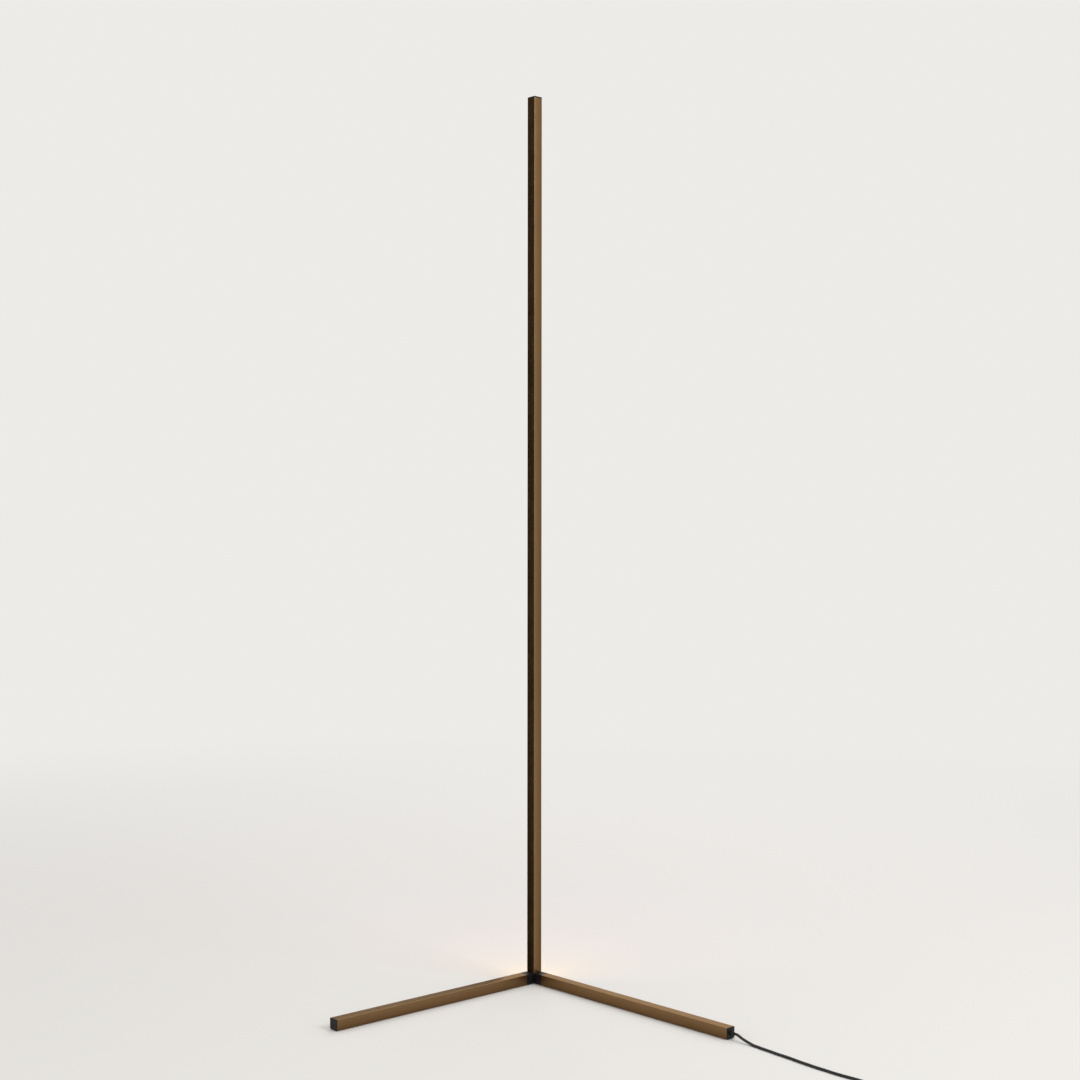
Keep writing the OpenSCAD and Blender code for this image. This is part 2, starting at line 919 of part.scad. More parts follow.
module controller_base() {
    color("#1b1b1b")
        on_controller()
            difference() {
                union() {
                    translate([0, 0, ctl_split])
                        mirror([0, 0, 1])
                            open_shell(ctl_l, ctl_w, ctl_split, ctl_wall, ctl_corner, ctl_round);
                    for (x = [-1, 1], y = [-1, 1])
                        translate([x * (board_l / 2 - post_inset), y * (board_w / 2 - post_inset),
                            post_root])
                            cylinder(h = board_z - post_root, r = post_r);
                    for (at = ctl_screw_at)
                        translate(at + [0, 0, post_root])
                            cylinder(h = ctl_split - post_root, r = ctl_boss_r);
                }
                boot_ways();
                for (at = ctl_screw_at)
                    translate(at)
                        ctl_screw_room();
            }
}

module ctl_screw_room() {
    translate([0, 0, -1])
        cylinder(h = 1 + ctl_head_z + ctl_head_t, r = ctl_head_r + fit_gap);
    translate([0, 0, -1])
        cylinder(h = ctl_split + 2, r = ctl_screw_r + fit_gap);
}

module controller_cover() {
    color("#1f1f1f")
        on_controller()
            difference() {
                union() {
                    translate([0, 0, ctl_split])
                        open_shell(ctl_l, ctl_w, ctl_h - ctl_split, ctl_wall, ctl_corner, ctl_round);
                    for (at = ctl_screw_at)
                        translate(at + [0, 0, ctl_split])
                            cylinder(h = ctl_h - ctl_split - ctl_wall / 2, r = ctl_boss_r);
                }
                boot_ways();
                for (at = ctl_screw_at)
                    translate(at)
                        cylinder(h = ctl_split + ctl_screw_bite + 1, r = ctl_screw_r);
                for (x = key_x)
                    translate([x, 0, ctl_split])
                        cylinder(h = ctl_h, r = key_r + key_gap);
                translate([window_x, 0, ctl_split])
                    cylinder(h = ctl_h, r = window_r);
            }
}

// A block on the board, centred between two keys.
module board_chip(x, size) {
    translate([x - size[0] / 2, -size[1] / 2, board_z + board_t])
        cube(size);
}

module controller_board() {
    color("#1e5a38")
        on_controller() {
            translate([-board_l / 2, -board_w / 2, board_z])
                cube([board_l, board_w, board_t]);
            board_chip((key_x[0] + key_x[1]) / 2, DRIVER_CHIP);
            board_chip((key_x[1] + key_x[2]) / 2, FLASH_CHIP);
        }
}

module controller_switches() {
    color("#2b2b2b")
        on_controller()
            for (x = key_x)
                translate([x, 0, board_z + board_t])
                    difference() {
                        translate([-switch_w / 2, -switch_w / 2, 0])
                            cube([switch_w, switch_w, switch_h]);
                        translate([0, 0, switch_h - well_d])
                            cylinder(h = well_d + 1, r = well_r);
                    }
}

// One key: bevelled top, flange under the cover and stem into its switch.
module key(i) {
    flange_z = ctl_h - ctl_wall - key_flange_t;
    stem_z = board_z + board_t + switch_h - stem_reach;
    top_z = ctl_h + key_proud;
    on_controller()
        translate([key_x[i], 0, 0])
            rotate_extrude()
                polygon([
                    [0, stem_z], [stem_r, stem_z], [stem_r, flange_z], [key_flange_r, flange_z],
                    [key_flange_r, flange_z + key_flange_t], [key_r, flange_z + key_flange_t],
                    [key_r, top_z - key_chamfer], [key_r - key_chamfer, top_z], [0, top_z]
                ]);
}

module power_key() {
    color("#c9c9c5")
        key(0);
}

module colour_key() {
    color("#c9c9c5")
        key(1);
}

module speed_key() {
    color("#c9c9c5")
        key(2);
}

// Receiver window: a flange under the cover and a low dome above it.
module controller_window() {
    flange_z = ctl_h - ctl_wall;
    color("#3a0d12")
        on_controller()
            translate([window_x, 0, 0])
                rotate_extrude()
                    polygon([
                        [0, flange_z - window_flange],
                        [window_r + window_flange, flange_z - window_flange],
                        [window_r + window_flange, flange_z], [window_r, flange_z],
                        each [for (a = [0:18:72])
                            [window_r * cos(a), ctl_h + window_proud * sin(a)]],
                        [0, ctl_h + window_proud]
                    ]);
}

// A boot's neck sits in the shells' wall, its flange inside and its ringed nose outside.
module boot_body(wall) {
    ring_l = (boot_len - boot_collar_l) / boot_rings;
    slope = (boot_collar_r - boot_end_r) / (boot_len - boot_collar_l);
    rotate([0, 90, 0])
        rotate_extrude()
            polygon(concat(
                [[0, -wall - boot_flange_t], [boot_flange_r, -wall - boot_flange_t],
                 [boot_flange_r, -wall], [boot_neck_r, -wall], [boot_neck_r, 0],
                 [boot_collar_r, 0], [boot_collar_r, boot_collar_l]],
                [for (i = [0:boot_rings - 1])
                    let (z = boot_collar_l + i * ring_l, r = boot_collar_r - slope * i * ring_l)
                    each [[r - boot_groove_d, z], [r - boot_groove_d, z + ring_l * 0.35],
                        [r - slope * ring_l, z + ring_l * 0.35], [r - slope * ring_l, z + ring_l]]],
                [[0, boot_len]]
            ));
}

module controller_boots() {
    color("#121212")
        on_controller()
            for (a = [0, 180])
                rotate(a)
                    translate([ctl_l / 2, 0, ctl_split])
                        boot_body(ctl_wall);
}

// Pan-head screws, head down in the base, with a cross slot.
module controller_screws() {
    color("#9a9a98")
        on_controller()
            for (at = ctl_screw_at)
                translate(at + [0, 0, ctl_head_z])
                    difference() {
                        union() {
                            cylinder(h = ctl_head_t, r = ctl_head_r);
                            cylinder(h = ctl_split + ctl_screw_bite - ctl_head_z, r = ctl_screw_r);
                        }
                        for (a = [0, 90])
                            rotate(a)
                                cube([ctl_head_r * 1.2, ctl_head_r * 0.2, ctl_head_t], center = true);
                    }
}

// ---------------------------------------------------------------- adapter

module on_adapter() {
    translate(adp_at)
        children();
}

module adapter_case() {
    color("#181818")
        on_adapter()
            difference() {
                translate([0, 0, case_h])
                    mirror([0, 0, 1])
                        open_shell(adp_l, adp_w, case_h, adp_wall, adp_corner, adp_round);
                translate([-adp_l / 2, 0, adp_cord_z])
                    rotate([0, 90, 0])
                        cylinder(h = 4 * adp_wall, r = boot_neck_r, center = true);
                grip_grooves();
            }
}

// Finger grooves in both long sides, beside the blades, to pull the adapter out by.
module grip_grooves() {
    for (s = [-1, 1], i = [0:grip_count - 1])
        translate([grip_x + i * grip_pitch, s * (adp_w / 2 + grip_r - grip_depth), grip_end])
            cylinder(h = case_h - 2 * grip_end, r = grip_r);
}

module adapter_face() {
    color("#1c1c1c")
        on_adapter()
            difference() {
                translate([0, 0, case_h])
                    open_shell(adp_l, adp_w, face_h, adp_wall, adp_corner, adp_round);
                for (y = [-1, 1])
                    translate([blade_x, y * blade_pitch / 2, adp_h])
                        cube([blade_w, blade_t, 4 * adp_wall], center = true);
            }
}

// Flat blades with a hole near the tip, and a foot inside the case.
module adapter_blades() {
    root_z = adp_h - adp_wall;
    color("#c8c2ae")
        on_adapter()
            for (y = [-1, 1])
                translate([blade_x, y * blade_pitch / 2, 0])
                    difference() {
                        union() {
                            translate([-blade_w / 2, -blade_t / 2, root_z])
                                cube([blade_w, blade_t, adp_wall + blade_l]);
                            translate([-blade_w / 2, -blade_t / 2 - blade_foot,
                                root_z - blade_foot_t])
                                cube([blade_w, blade_t + 2 * blade_foot, blade_foot_t]);
                        }
                        translate([0, 0, adp_h + blade_l - blade_hole_tip])
                            rotate([90, 0, 0])
                                cylinder(h = 2 * blade_t, r = blade_hole_r, center = true);
                    }
}

// Circuit board on four posts, with its transformer and two round cans.
module adapter_board() {
    color("#2d6b45")
        on_adapter() {
            translate([adp_board_x, -adp_board_w / 2, adp_board_z])
                cube([adp_board_l, adp_board_w, board_t]);
            for (x = [0.1, 0.9], y = [-0.4, 0.4])
                translate([adp_board_x + x * adp_board_l, y * adp_board_w, adp_wall])
                    cylinder(h = adp_board_gap, r = post_r);
            translate([-TRANSFORMER[0] / 2, -TRANSFORMER[1] / 2, adp_board_z + board_t])
                cube(TRANSFORMER);
            for (at = [[-0.27, 0.14], [0.27, -0.14]])
                translate([at[0] * adp_l, at[1] * adp_w, adp_board_z + board_t])
                    cylinder(h = can_h, r = can_r);
        }
}

module adapter_boot() {
    color("#121212")
        on_adapter()
            translate([-adp_l / 2, 0, adp_cord_z])
                rotate(180)
                    boot_body(adp_wall);
}

echo(coil_gap = coil_gap());
echo(run = route_length(RUN), link = route_length(LINK), coil = route_length(COIL),
    tail = route_length(TAIL));

pole();
pole_cover();
led_tape();
led_chips();
tape_connector();
top_cap();
corner_block();
left_leg();
right_leg();
left_leg_cap();
right_leg_cap();
cord_grommet();
cord_stop();
inner_lead();
pole_screw();
leg_screws();
foot_pads();
cord_run();
cord_link();
cord_coil();
cord_tail();
controller_base();
controller_cover();
controller_board();
controller_switches();
power_key();
colour_key();
speed_key();
controller_window();
controller_boots();
controller_screws();
adapter_case();
adapter_face();
adapter_board();
adapter_blades();
adapter_boot();
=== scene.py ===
"""Looks of a corner floor lamp, built round its CAD model: finishes, cords, studio and camera.

Lengths are in metres in the CAD model's own frame: the floor is z = 0, the legs reach forward to
-Y, and the light channel in the pole's back faces +Y.
"""

import json
import logging
import math
from dataclasses import dataclass
from enum import Enum
from functools import cache
from typing import Any

import bpy
import numpy as np
from bpy.types import Camera, Light, Material, NodeSocket, Object
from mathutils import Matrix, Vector

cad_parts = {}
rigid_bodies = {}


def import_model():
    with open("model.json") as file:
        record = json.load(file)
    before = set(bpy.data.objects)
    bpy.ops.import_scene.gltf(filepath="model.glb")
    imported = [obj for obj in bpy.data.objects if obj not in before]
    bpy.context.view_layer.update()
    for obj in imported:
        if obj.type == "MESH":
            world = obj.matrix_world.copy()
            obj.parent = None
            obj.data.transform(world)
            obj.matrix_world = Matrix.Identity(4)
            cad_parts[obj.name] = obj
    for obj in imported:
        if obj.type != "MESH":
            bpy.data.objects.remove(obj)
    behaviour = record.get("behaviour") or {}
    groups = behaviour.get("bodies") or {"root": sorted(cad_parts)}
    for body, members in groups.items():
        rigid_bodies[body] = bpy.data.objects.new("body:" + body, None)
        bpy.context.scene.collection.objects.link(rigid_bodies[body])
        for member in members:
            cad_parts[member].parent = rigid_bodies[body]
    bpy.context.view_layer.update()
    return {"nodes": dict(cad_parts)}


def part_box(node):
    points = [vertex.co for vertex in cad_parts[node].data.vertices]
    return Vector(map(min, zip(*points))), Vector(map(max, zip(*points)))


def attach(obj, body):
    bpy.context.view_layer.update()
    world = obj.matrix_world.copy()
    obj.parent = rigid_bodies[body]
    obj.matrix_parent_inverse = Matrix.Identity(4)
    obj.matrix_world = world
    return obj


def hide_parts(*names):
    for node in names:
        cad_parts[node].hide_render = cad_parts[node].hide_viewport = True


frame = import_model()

Pair = tuple[float, float]
Triple = tuple[float, float, float]

MM = 0.001
SCENE = bpy.context.scene
LEG_LOW, LEG_HIGH = np.array(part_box("right_leg"))
BAR_W = LEG_HIGH[2] - LEG_LOW[2]
BAR_Z = (LEG_LOW[2] + LEG_HIGH[2]) / 2
# The pole's middle line is at x = 0 and this y. The right leg's starts there and runs 45 degrees
# forward, so x + y is the same all along it.
POLE_Y = (LEG_LOW + LEG_HIGH)[:2].sum() / 2

log = logging.getLogger("corner_floor_lamp")


# ---------------- small helpers

def linear(hex_colour: str) -> tuple[float, float, float, float]:
    """Turns an sRGB hex colour into linear light.

    Args:
        hex_colour: six hex digits, with or without a leading hash.

    Returns:
        Red, green, blue and an alpha of 1, each from 0 to 1.
    """
    digits = hex_colour.lstrip("#")
    srgb = np.array([int(digits[i:i + 2], 16) for i in (0, 2, 4)]) / 255.0
    rgb = np.where(srgb <= 0.04045, srgb / 12.92, ((srgb + 0.055) / 1.055) ** 2.4)
    return (*[float(c) for c in rgb], 1.0)


class Recipe:
    """The nodes of one material or world, and the one way in which they are added."""

    def __init__(self, name: str, is_world: bool = False) -> None:
        """Starts a new material or world with no nodes.

        Args:
            name: its name.
            is_world: whether it is a world.
        """
        self.owner = (bpy.data.worlds if is_world else bpy.data.materials).new(name)
        self.owner.use_nodes = True
        self.tree = self.owner.node_tree
        self.tree.nodes.clear()

    def add(self, kind: str, inputs: dict | None = None, out: int | str = 0,
            **settings: Any) -> NodeSocket | None:
        """Adds one node, with its settings, values and links.

        Args:
            kind: the node's type, without its first word.
            inputs: socket names or numbers, each with a value or with the output it is linked to.
            out: name or number of the output that comes back.
            **settings: the node's own properties.

        Returns:
            The output, or nothing from a node that has none.
        """
        node = self.tree.nodes.new(f"ShaderNode{kind}")
        for name, value in settings.items():
            setattr(node, name, value)
        for name, value in (inputs or {}).items():
            if isinstance(value, NodeSocket):
                self.tree.links.new(value, node.inputs[name])
            else:
                node.inputs[name].default_value = value
        return node.outputs[out] if node.outputs else None

    def patches(self, cell: float | Triple, place: NodeSocket | None = None,
                detail: float = 3.0, low: float = 0.3, high: float = 0.7) -> NodeSocket:
        """Lays soft random patches of a real size: noise of one cell's scale, ramped to 0..1.

        Args:
            cell: size of a patch, or its sizes along x, y and z, in metres.
            place: where the point is; Object coordinates, if left out.
            detail: octaves of the noise.
            low: the noise that gives 0; the raw noise is about 0.3 to 0.7.
            high: the noise that gives 1.

        Returns:
            The patches' output, from 0 to 1.
        """
        at = place or self.add("TexCoord", out="Object")
        cells = self.add("VectorMath", {0: at, 1: tuple(np.ones(3) / cell)},
                         operation="MULTIPLY")
        raw = self.add("TexNoise", {"Vector": cells, "Scale": 1.0, "Detail": detail,
                                    "Roughness": 0.55})
        return self.add("MapRange", {"Value": raw, "From Min": low, "From Max": high})

    def uneven(self, share: NodeSocket, roughness: Pair, height: NodeSocket,
               depth: float) -> dict:
        """Lets the roughness go with a share of the surface, and adds a relief.

        Args:
            share: from 0 to 1.
            roughness: the roughness at 0 and at 1.
            height: the relief, from 0 to 1.
            depth: the relief's depth.

        Returns:
            The shader's roughness and normal.
        """
        return {"Roughness": self.add("MapRange", {"Value": share, "To Min": roughness[0],
                                                   "To Max": roughness[1]}),
                "Normal": self.add("Bump", {"Height": height, "Distance": depth})}

    def worn(self, share: NodeSocket, colours: tuple[str, str], *others: Any) -> dict:
        """Lets colour and roughness both go with one share of the surface, and adds a relief.

        Args:
            share: from 0 to 1.
            colours: the hex colours at 0 and at 1.
            *others: the roughness, height and depth that uneven gets.

        Returns:
            The shader's colour, roughness and normal.
        """
        return {"Base Color": self.add("Mix", {0: share, 6: linear(colours[0]),
                                               7: linear(colours[1])}, 2, data_type="RGBA"),
                **self.uneven(share, *others)}

    def looked_at(self) -> NodeSocket:
        """Finds the rays that look: those of the camera, of gloss and of transmission.

        Returns:
            1 for such a ray, and 0 for one that only carries light.
        """
        path = self.add("LightPath").node.outputs
        seen = self.add("Math", {0: path["Is Camera Ray"], 1: path["Is Glossy Ray"]},
                        operation="MAXIMUM")
        return self.add("Math", {0: seen, 1: path["Is Transmission Ray"]}, operation="MAXIMUM")

    def finish(self, inputs: dict) -> Material:
        """Ends the material with its shader, which gets these inputs, and hands it over."""
        self.add("OutputMaterial", {"Surface": self.add("BsdfPrincipled", inputs)})
        return self.owner


class Bar(Enum):
    """The three bars, each with the turn of its own frame about Z from +X, in degrees.

    The pole's frame has x to the back right, y to the back left and z along it; a leg's has x
    along it, away from the pole, y across it and z up from its middle.
    """

    POLE = 45.0
    LEFT_LEG = -135.0
    RIGHT_LEG = -45.0

    def cell(self, wide: float, long: float) -> Triple:
        """Gives a pattern's cell that is long along the bar and wide across it."""
        return (wide, wide, long) if self is Bar.POLE else (long, wide, wide)

    def across(self) -> tuple[str, str]:
        """Names the two axes across the bar."""
        return ("X", "Y") if self is Bar.POLE else ("Y", "Z")

    def away(self) -> Triple:
        """Gives the way over a face from its painted bright edge, where a painted highlight sits:
        the pole's front, or a leg's top.
        """
        return (1.0, 1.0, 0.0) if self is Bar.POLE else (0.0, 0.0, -1.0)


def dress(names: list[str], material: Material) -> None:
    """Puts one material on all slots of CAD nodes or new pieces.

    Args:
        names: CAD nodes or objects.
        material: what they get.
    """
    for name in names:
        piece = frame["nodes"].get(name) or bpy.data.objects[name]
        piece.data.materials.clear()
        piece.data.materials.append(material)
        log.info("dressed %s in %s", name, material.name)


# ---------------- finishes

@dataclass(frozen=True)
class BronzeAnodising:
    """Anodised aluminium, extruded, satin brushed along its length and coloured with a bronze dye.

    It gives the eye a golden brown metal with hair-fine lines along the bar, and a paler thread
    along each edge, where brushing and handling thin the dye. Its colour also deepens over each
    face from the pole's front edge or a leg's
    top: painted light, a painted highlight at that edge that shades off into painted shade.
    """

    # Painted light and dye: the first colour is the painted highlight at the bright edge, the
    # second the painted shade across the face; slow dye clouds also mix between them.
    dye_and_painted_highlight_colour: str = "#85694A"
    dye_and_painted_shade_colour: str = "#624829"
    line_colour: str = "#94785A"
    edge_colour: str = "#B3946A"
    grazing_tint: str = "#DDD2C6"
    line_width: float = 0.2 * MM
    line_length: float = 80 * MM
    line_share: float = 0.24
    line_start: float = 0.25
    line_depth: float = 0.005 * MM
    cloud_width: float = 25 * MM
    cloud_length: float = 260 * MM
    cloud_share: float = 0.2
    touch_size: float = 14 * MM
    wear: Pair = (0.15, 0.8)
    roughness: float = 0.27
    line_roughness: float = 0.09
    touch_roughness: float = 0.06
    edge_band: float = 0.7 * MM

    def edges(self, mix: Recipe, own: NodeSocket, bar: Bar) -> NodeSocket:
        """Finds the long edges: the smaller of the two distances from the bar's middle planes.

        On a face one of them is half the width, so the smaller one comes near that only beside
        an edge; it is ramped from 0 to 1 over edge_band.

        Args:
            mix: the material's recipe.
            own: the point in the bar's own frame.
            bar: which bar.

        Returns:
            The ramp's output.
        """
        sides = [mix.add("Math", {0: mix.add("SeparateXYZ", {0: own}, out=axis)},
                         operation="ABSOLUTE") for axis in bar.across()]
        near = mix.add("Math", {0: sides[0], 1: sides[1]}, operation="MINIMUM")
        return mix.add("MapRange", {"Value": near, "From Min": BAR_W / 2 - self.edge_band,
                                    "From Max": BAR_W / 2})

    def painted_shade_and_dye_depth(self, mix: Recipe, own: NodeSocket, bar: Bar) -> NodeSocket:
        """Works out how deep the tone is: painted shade that grows over a face from its painted
        highlight at the bright edge, and a share of slow dye clouds.

        Args:
            mix: the material's recipe.
            own: the point in the bar's own frame.
            bar: which bar.

        Returns:
            The share of the deep colour.
        """
        # Painted light: a ramp from the painted highlight at the bright edge to painted shade over
        # the face.
        way = mix.add("VectorMath", {0: own, 1: bar.away()}, out="Value",
                      operation="DOT_PRODUCT")
        start = -BAR_W if bar is Bar.POLE else -BAR_W / 2
        over = mix.add("MapRange", {"Value": way, "From Min": start, "From Max": start + BAR_W,
                                    "To Max": 1 - self.cloud_share})
        clouds = mix.patches(bar.cell(self.cloud_width, self.cloud_length), own, 1.0)
        return mix.add("Math", {0: clouds, 1: self.cloud_share, 2: over},
                       operation="MULTIPLY_ADD")

    def material(self, bar: Bar) -> Material:
        """Makes the finish in one bar's own frame.

        The brushed lines are noise stretched line_length along the bar and line_width across it;
        real ones are 0.05 to 0.1 mm wide, and these are drawn coarser so that they show.

        Args:
            bar: which bar.

        Returns:
            The material.
        """
        mix = Recipe(f"bronze_anodised_aluminium_{bar.name.lower()}")
        own = mix.add("Mapping", {
            "Vector": mix.add("TexCoord", out="Object"),
            "Location": (0.0, POLE_Y, 0.0 if bar is Bar.POLE else BAR_Z),
            "Rotation": (0.0, 0.0, math.radians(bar.value))}, vector_type="TEXTURE")
        lines = mix.patches(bar.cell(self.line_width, self.line_length), own)
        touch = mix.patches(self.touch_size, own)
        # Painted shade over the face and dye clouds, between the two colours.
        dyed_with_painted_shade = mix.add("Mix", {0: self.painted_shade_and_dye_depth(mix, own, bar), 6: linear(self.dye_and_painted_highlight_colour),
                               7: linear(self.dye_and_painted_shade_colour)}, 2, data_type="RGBA")
        drawn = mix.add("MapRange", {"Value": lines, "From Min": self.line_start,
                                     "To Max": self.line_share})
        brushed = mix.add("Mix", {0: drawn, 6: dyed_with_painted_shade, 7: linear(self.line_colour)}, 2,
                          data_type="RGBA")
        rubbed = mix.add("MapRange", {"Value": touch, "To Min": self.wear[0],
                                      "To Max": self.wear[1]})
        worn = mix.add("Math", {0: self.edges(mix, own, bar), 1: rubbed}, operation="MULTIPLY")
        satin = mix.add("Math", {0: lines, 1: self.line_roughness, 2: self.roughness},
                        operation="MULTIPLY_ADD")
        return mix.finish({
            "Base Color": mix.add("Mix", {0: worn, 6: brushed, 7: linear(self.edge_colour)}, 2,
                                  data_type="RGBA"),
            "Roughness": mix.add("Math", {0: touch, 1: self.touch_roughness, 2: satin},
                                 operation="MULTIPLY_ADD"),
            "Normal": mix.add("Bump", {"Height": lines, "Distance": self.line_depth}),
            "Metallic": 1.0, "Specular Tint": linear(self.grazing_tint)})


@dataclass(frozen=True)
class MilkyCover:
    """Opal polycarbonate, extruded, lit from inside in a blend of colours along the pole.

    It gives the eye an even glow with no clear hot spots, a little stronger along its middle:
    azure at the top, then violet, magenta and red, and warm yellow at the foot.
    """

    unlit_colour: str = "#3A3A3C"
    # Share of the glow's colour that is painted into the cover's base colour: painted light.
    painted_glow_share: float = 0.35
    foot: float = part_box("pole_cover")[0][2]
    top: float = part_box("pole_cover")[1][2]
    led_pitch: float = 33.3 * MM
    half_width: float = 10 * MM
    strength: float = 0.9
    beat: float = 0.05
    edge_strength: float = 0.68
    foot_fade: Pair = (40 * MM, 0.45)
    top_fade: Pair = (-25 * MM, 0.6)
    haze_size: Triple = (2 * MM, 2 * MM, 40 * MM)
    haze_depth: float = 0.008 * MM
    roughness: Pair = (0.38, 0.5)
    glow: tuple[tuple[float, str], ...] = (
        (0.00, "#FFDC55"), (0.06, "#FFC848"), (0.15, "#FF9A3C"), (0.23, "#FF6A42"),
        (0.30, "#FF4478"), (0.37, "#FF48C8"), (0.48, "#F552FF"), (0.60, "#B65AFF"),
        (0.71, "#7460FF"), (0.83, "#4468FF"), (0.93, "#2A80FF"), (1.00, "#2E9CFF"))

    def colour_at(self, share: float) -> Triple:
        """Gives the glow's linear colour at a share of the cover's height.

        Args:
            share: 0 at the foot and 1 at the top.

        Returns:
            Red, green and blue, from 0 to 1.
        """
        stops = np.array([at for at, _ in self.glow])
        colours = np.array([linear(colour)[:3] for _, colour in self.glow])
        return tuple(float(np.interp(share, stops, colours[:, i])) for i in range(3))

    def brightness(self, mix: Recipe, across: NodeSocket, height: NodeSocket) -> NodeSocket:
        """Works out the glow's strength at a point: a soft beat, with dimmer sides and ends.

        The beat is strength (1 - beat + beat cos(2 pi z / led_pitch)), as a milky wall leaves of
        a row of packages; it falls with the square of x towards the two long sides. Each fade is
        a run from an end, which is past the last package, and the share that is left there.

        Args:
            mix: the material's recipe.
            across: the distance x from the pole's middle plane.
            height: the height z over the floor.

        Returns:
            The strength's output.
        """
        turn = mix.add("Math", {0: height, 1: 2 * math.pi / self.led_pitch}, operation="MULTIPLY")
        wave = mix.add("Math", {0: turn}, operation="COSINE")
        level = mix.add("Math", {0: wave, 1: self.beat * self.strength,
                                 2: (1 - self.beat) * self.strength}, operation="MULTIPLY_ADD")
        shares = [mix.add("MapRange", {
            "Value": mix.add("Math", {0: across, 1: across}, operation="MULTIPLY"),
            "From Max": self.half_width ** 2, "To Min": 1.0, "To Max": self.edge_strength})]
        for end, (run, least) in ((self.foot, self.foot_fade), (self.top, self.top_fade)):
            shares.append(mix.add("MapRange", {
                "Value": height, "From Min": end, "From Max": end + run, "To Min": least}))
        for share in shares:
            level = mix.add("Math", {0: level, 1: share}, operation="MULTIPLY")
        return level

    def material(self) -> Material:
        """Makes the lit cover: a colour ramp over the height.

        The light from inside outshines what the wall reflects. Besides the emission, a share of the
        glow's colour is painted into the base colour as painted light.

        Returns:
            The material.
        """
        mix = Recipe("opal_polycarbonate_extruded")
        across = mix.add("SeparateXYZ", {0: mix.add("TexCoord", out="Object")}, "X")
        height = across.node.outputs["Z"]
        glow = mix.add("ValToRGB", {0: mix.add("MapRange", {
            "Value": height, "From Min": self.foot, "From Max": self.top})})
        band = glow.node.color_ramp
        band.interpolation = "B_SPLINE"
        for at, _ in self.glow[1:-1]:
            band.elements.new(at)
        for stop, (_, colour) in zip(band.elements, self.glow):
            stop.color = linear(colour)
        haze = mix.patches(self.haze_size, detail=2.0)
        return mix.finish({
            **mix.uneven(haze, self.roughness, haze, self.haze_depth),
            # Painted light: the base colour takes a share of the glow's colour.
            "Base Color": mix.add("Mix", {0: self.painted_glow_share, 6: linear(self.unlit_colour),
                                          7: glow}, 2, data_type="RGBA"),
            "IOR": 1.58, "Emission Color": glow,
            "Emission Strength": self.brightness(mix, across, height)})


@dataclass(frozen=True)
class Moulding:
    """A moulded plastic or rubber: even colour, a fine grain from the mould and faint handling.

    It gives the eye a quiet surface whose highlight breaks up softly. Its colours and its
    roughness are each first the new ones and then the worn ones.
    """

    name: str
    colours: tuple[str, str]
    roughness: Pair
    grain: float = 0.5 * MM
    grain_depth: float = 0.004 * MM
    gloss: float = 0.35
    ior: float = 1.5
    touch_size: float = 11 * MM
    touch_detail: float = 3.0
    touch_ramp: Pair = (0.3, 0.7)

    @cache
    def material(self) -> Material:
        """Makes the moulding once: grain as a bump, and slow variation in colour and roughness.

        Returns:
            The material.
        """
        mix = Recipe(self.name)
        grain = mix.patches(self.grain, detail=2.0)
        touch = mix.patches(self.touch_size, None, self.touch_detail, *self.touch_ramp)
        return mix.finish({
            **mix.worn(touch, self.colours, self.roughness, grain, self.grain_depth),
            "IOR": self.ior, "Specular IOR Level": self.gloss})


BLACK_NYLON = Moulding("black_nylon_moulded", ("#0A0A0A", "#121111"), (0.58, 0.48),
                       grain_depth=0.012 * MM, gloss=0.25)
BLACK_ABS = Moulding("black_abs_spark_textured", ("#0E0E0F", "#161617"), (0.58, 0.48),
                     grain=0.45 * MM, grain_depth=0.014 * MM)
GREY_KEY = Moulding("grey_abs_moulded_keys", ("#C6C6C1", "#B9B8B2"), (0.44, 0.34),
                    grain=0.6 * MM, gloss=0.5)
SOFT_RUBBER = Moulding("black_soft_pvc_moulded", ("#0C0C0C", "#151414"), (0.62, 0.52),
                       grain=0.8 * MM, grain_depth=0.008 * MM, ior=1.52)
CLIP_PLASTIC = Moulding("white_nylon_clip", ("#DEDDD6", "#D2D0C6"), (0.41, 0.31))
KEY_PRINT = Moulding("dark_pad_print", ("#2E2F31", "#3C3D3F"), (0.51, 0.41),
                     grain=0.4 * MM, grain_depth=0.002 * MM)
# White frame and yellow phosphor, drawn as patches that don't follow the round well.
LED_PACKAGE = Moulding("led_package_moulded", ("#EFEDE4", "#E8C648"), (0.3, 0.15),
                       grain_depth=0.0, gloss=0.5, touch_size=1.6 * MM, touch_detail=1.0,
                       touch_ramp=(0.45, 0.6))
# Dark red and polished, which only the remote's beam passes.
RED_ACRYLIC = Moulding("dark_red_acrylic_polished", ("#220508", "#33090E"), (0.06, 0.14),
                       grain_depth=0.0, gloss=0.5, ior=1.49, touch_size=4 * MM,
                       touch_detail=1.0)


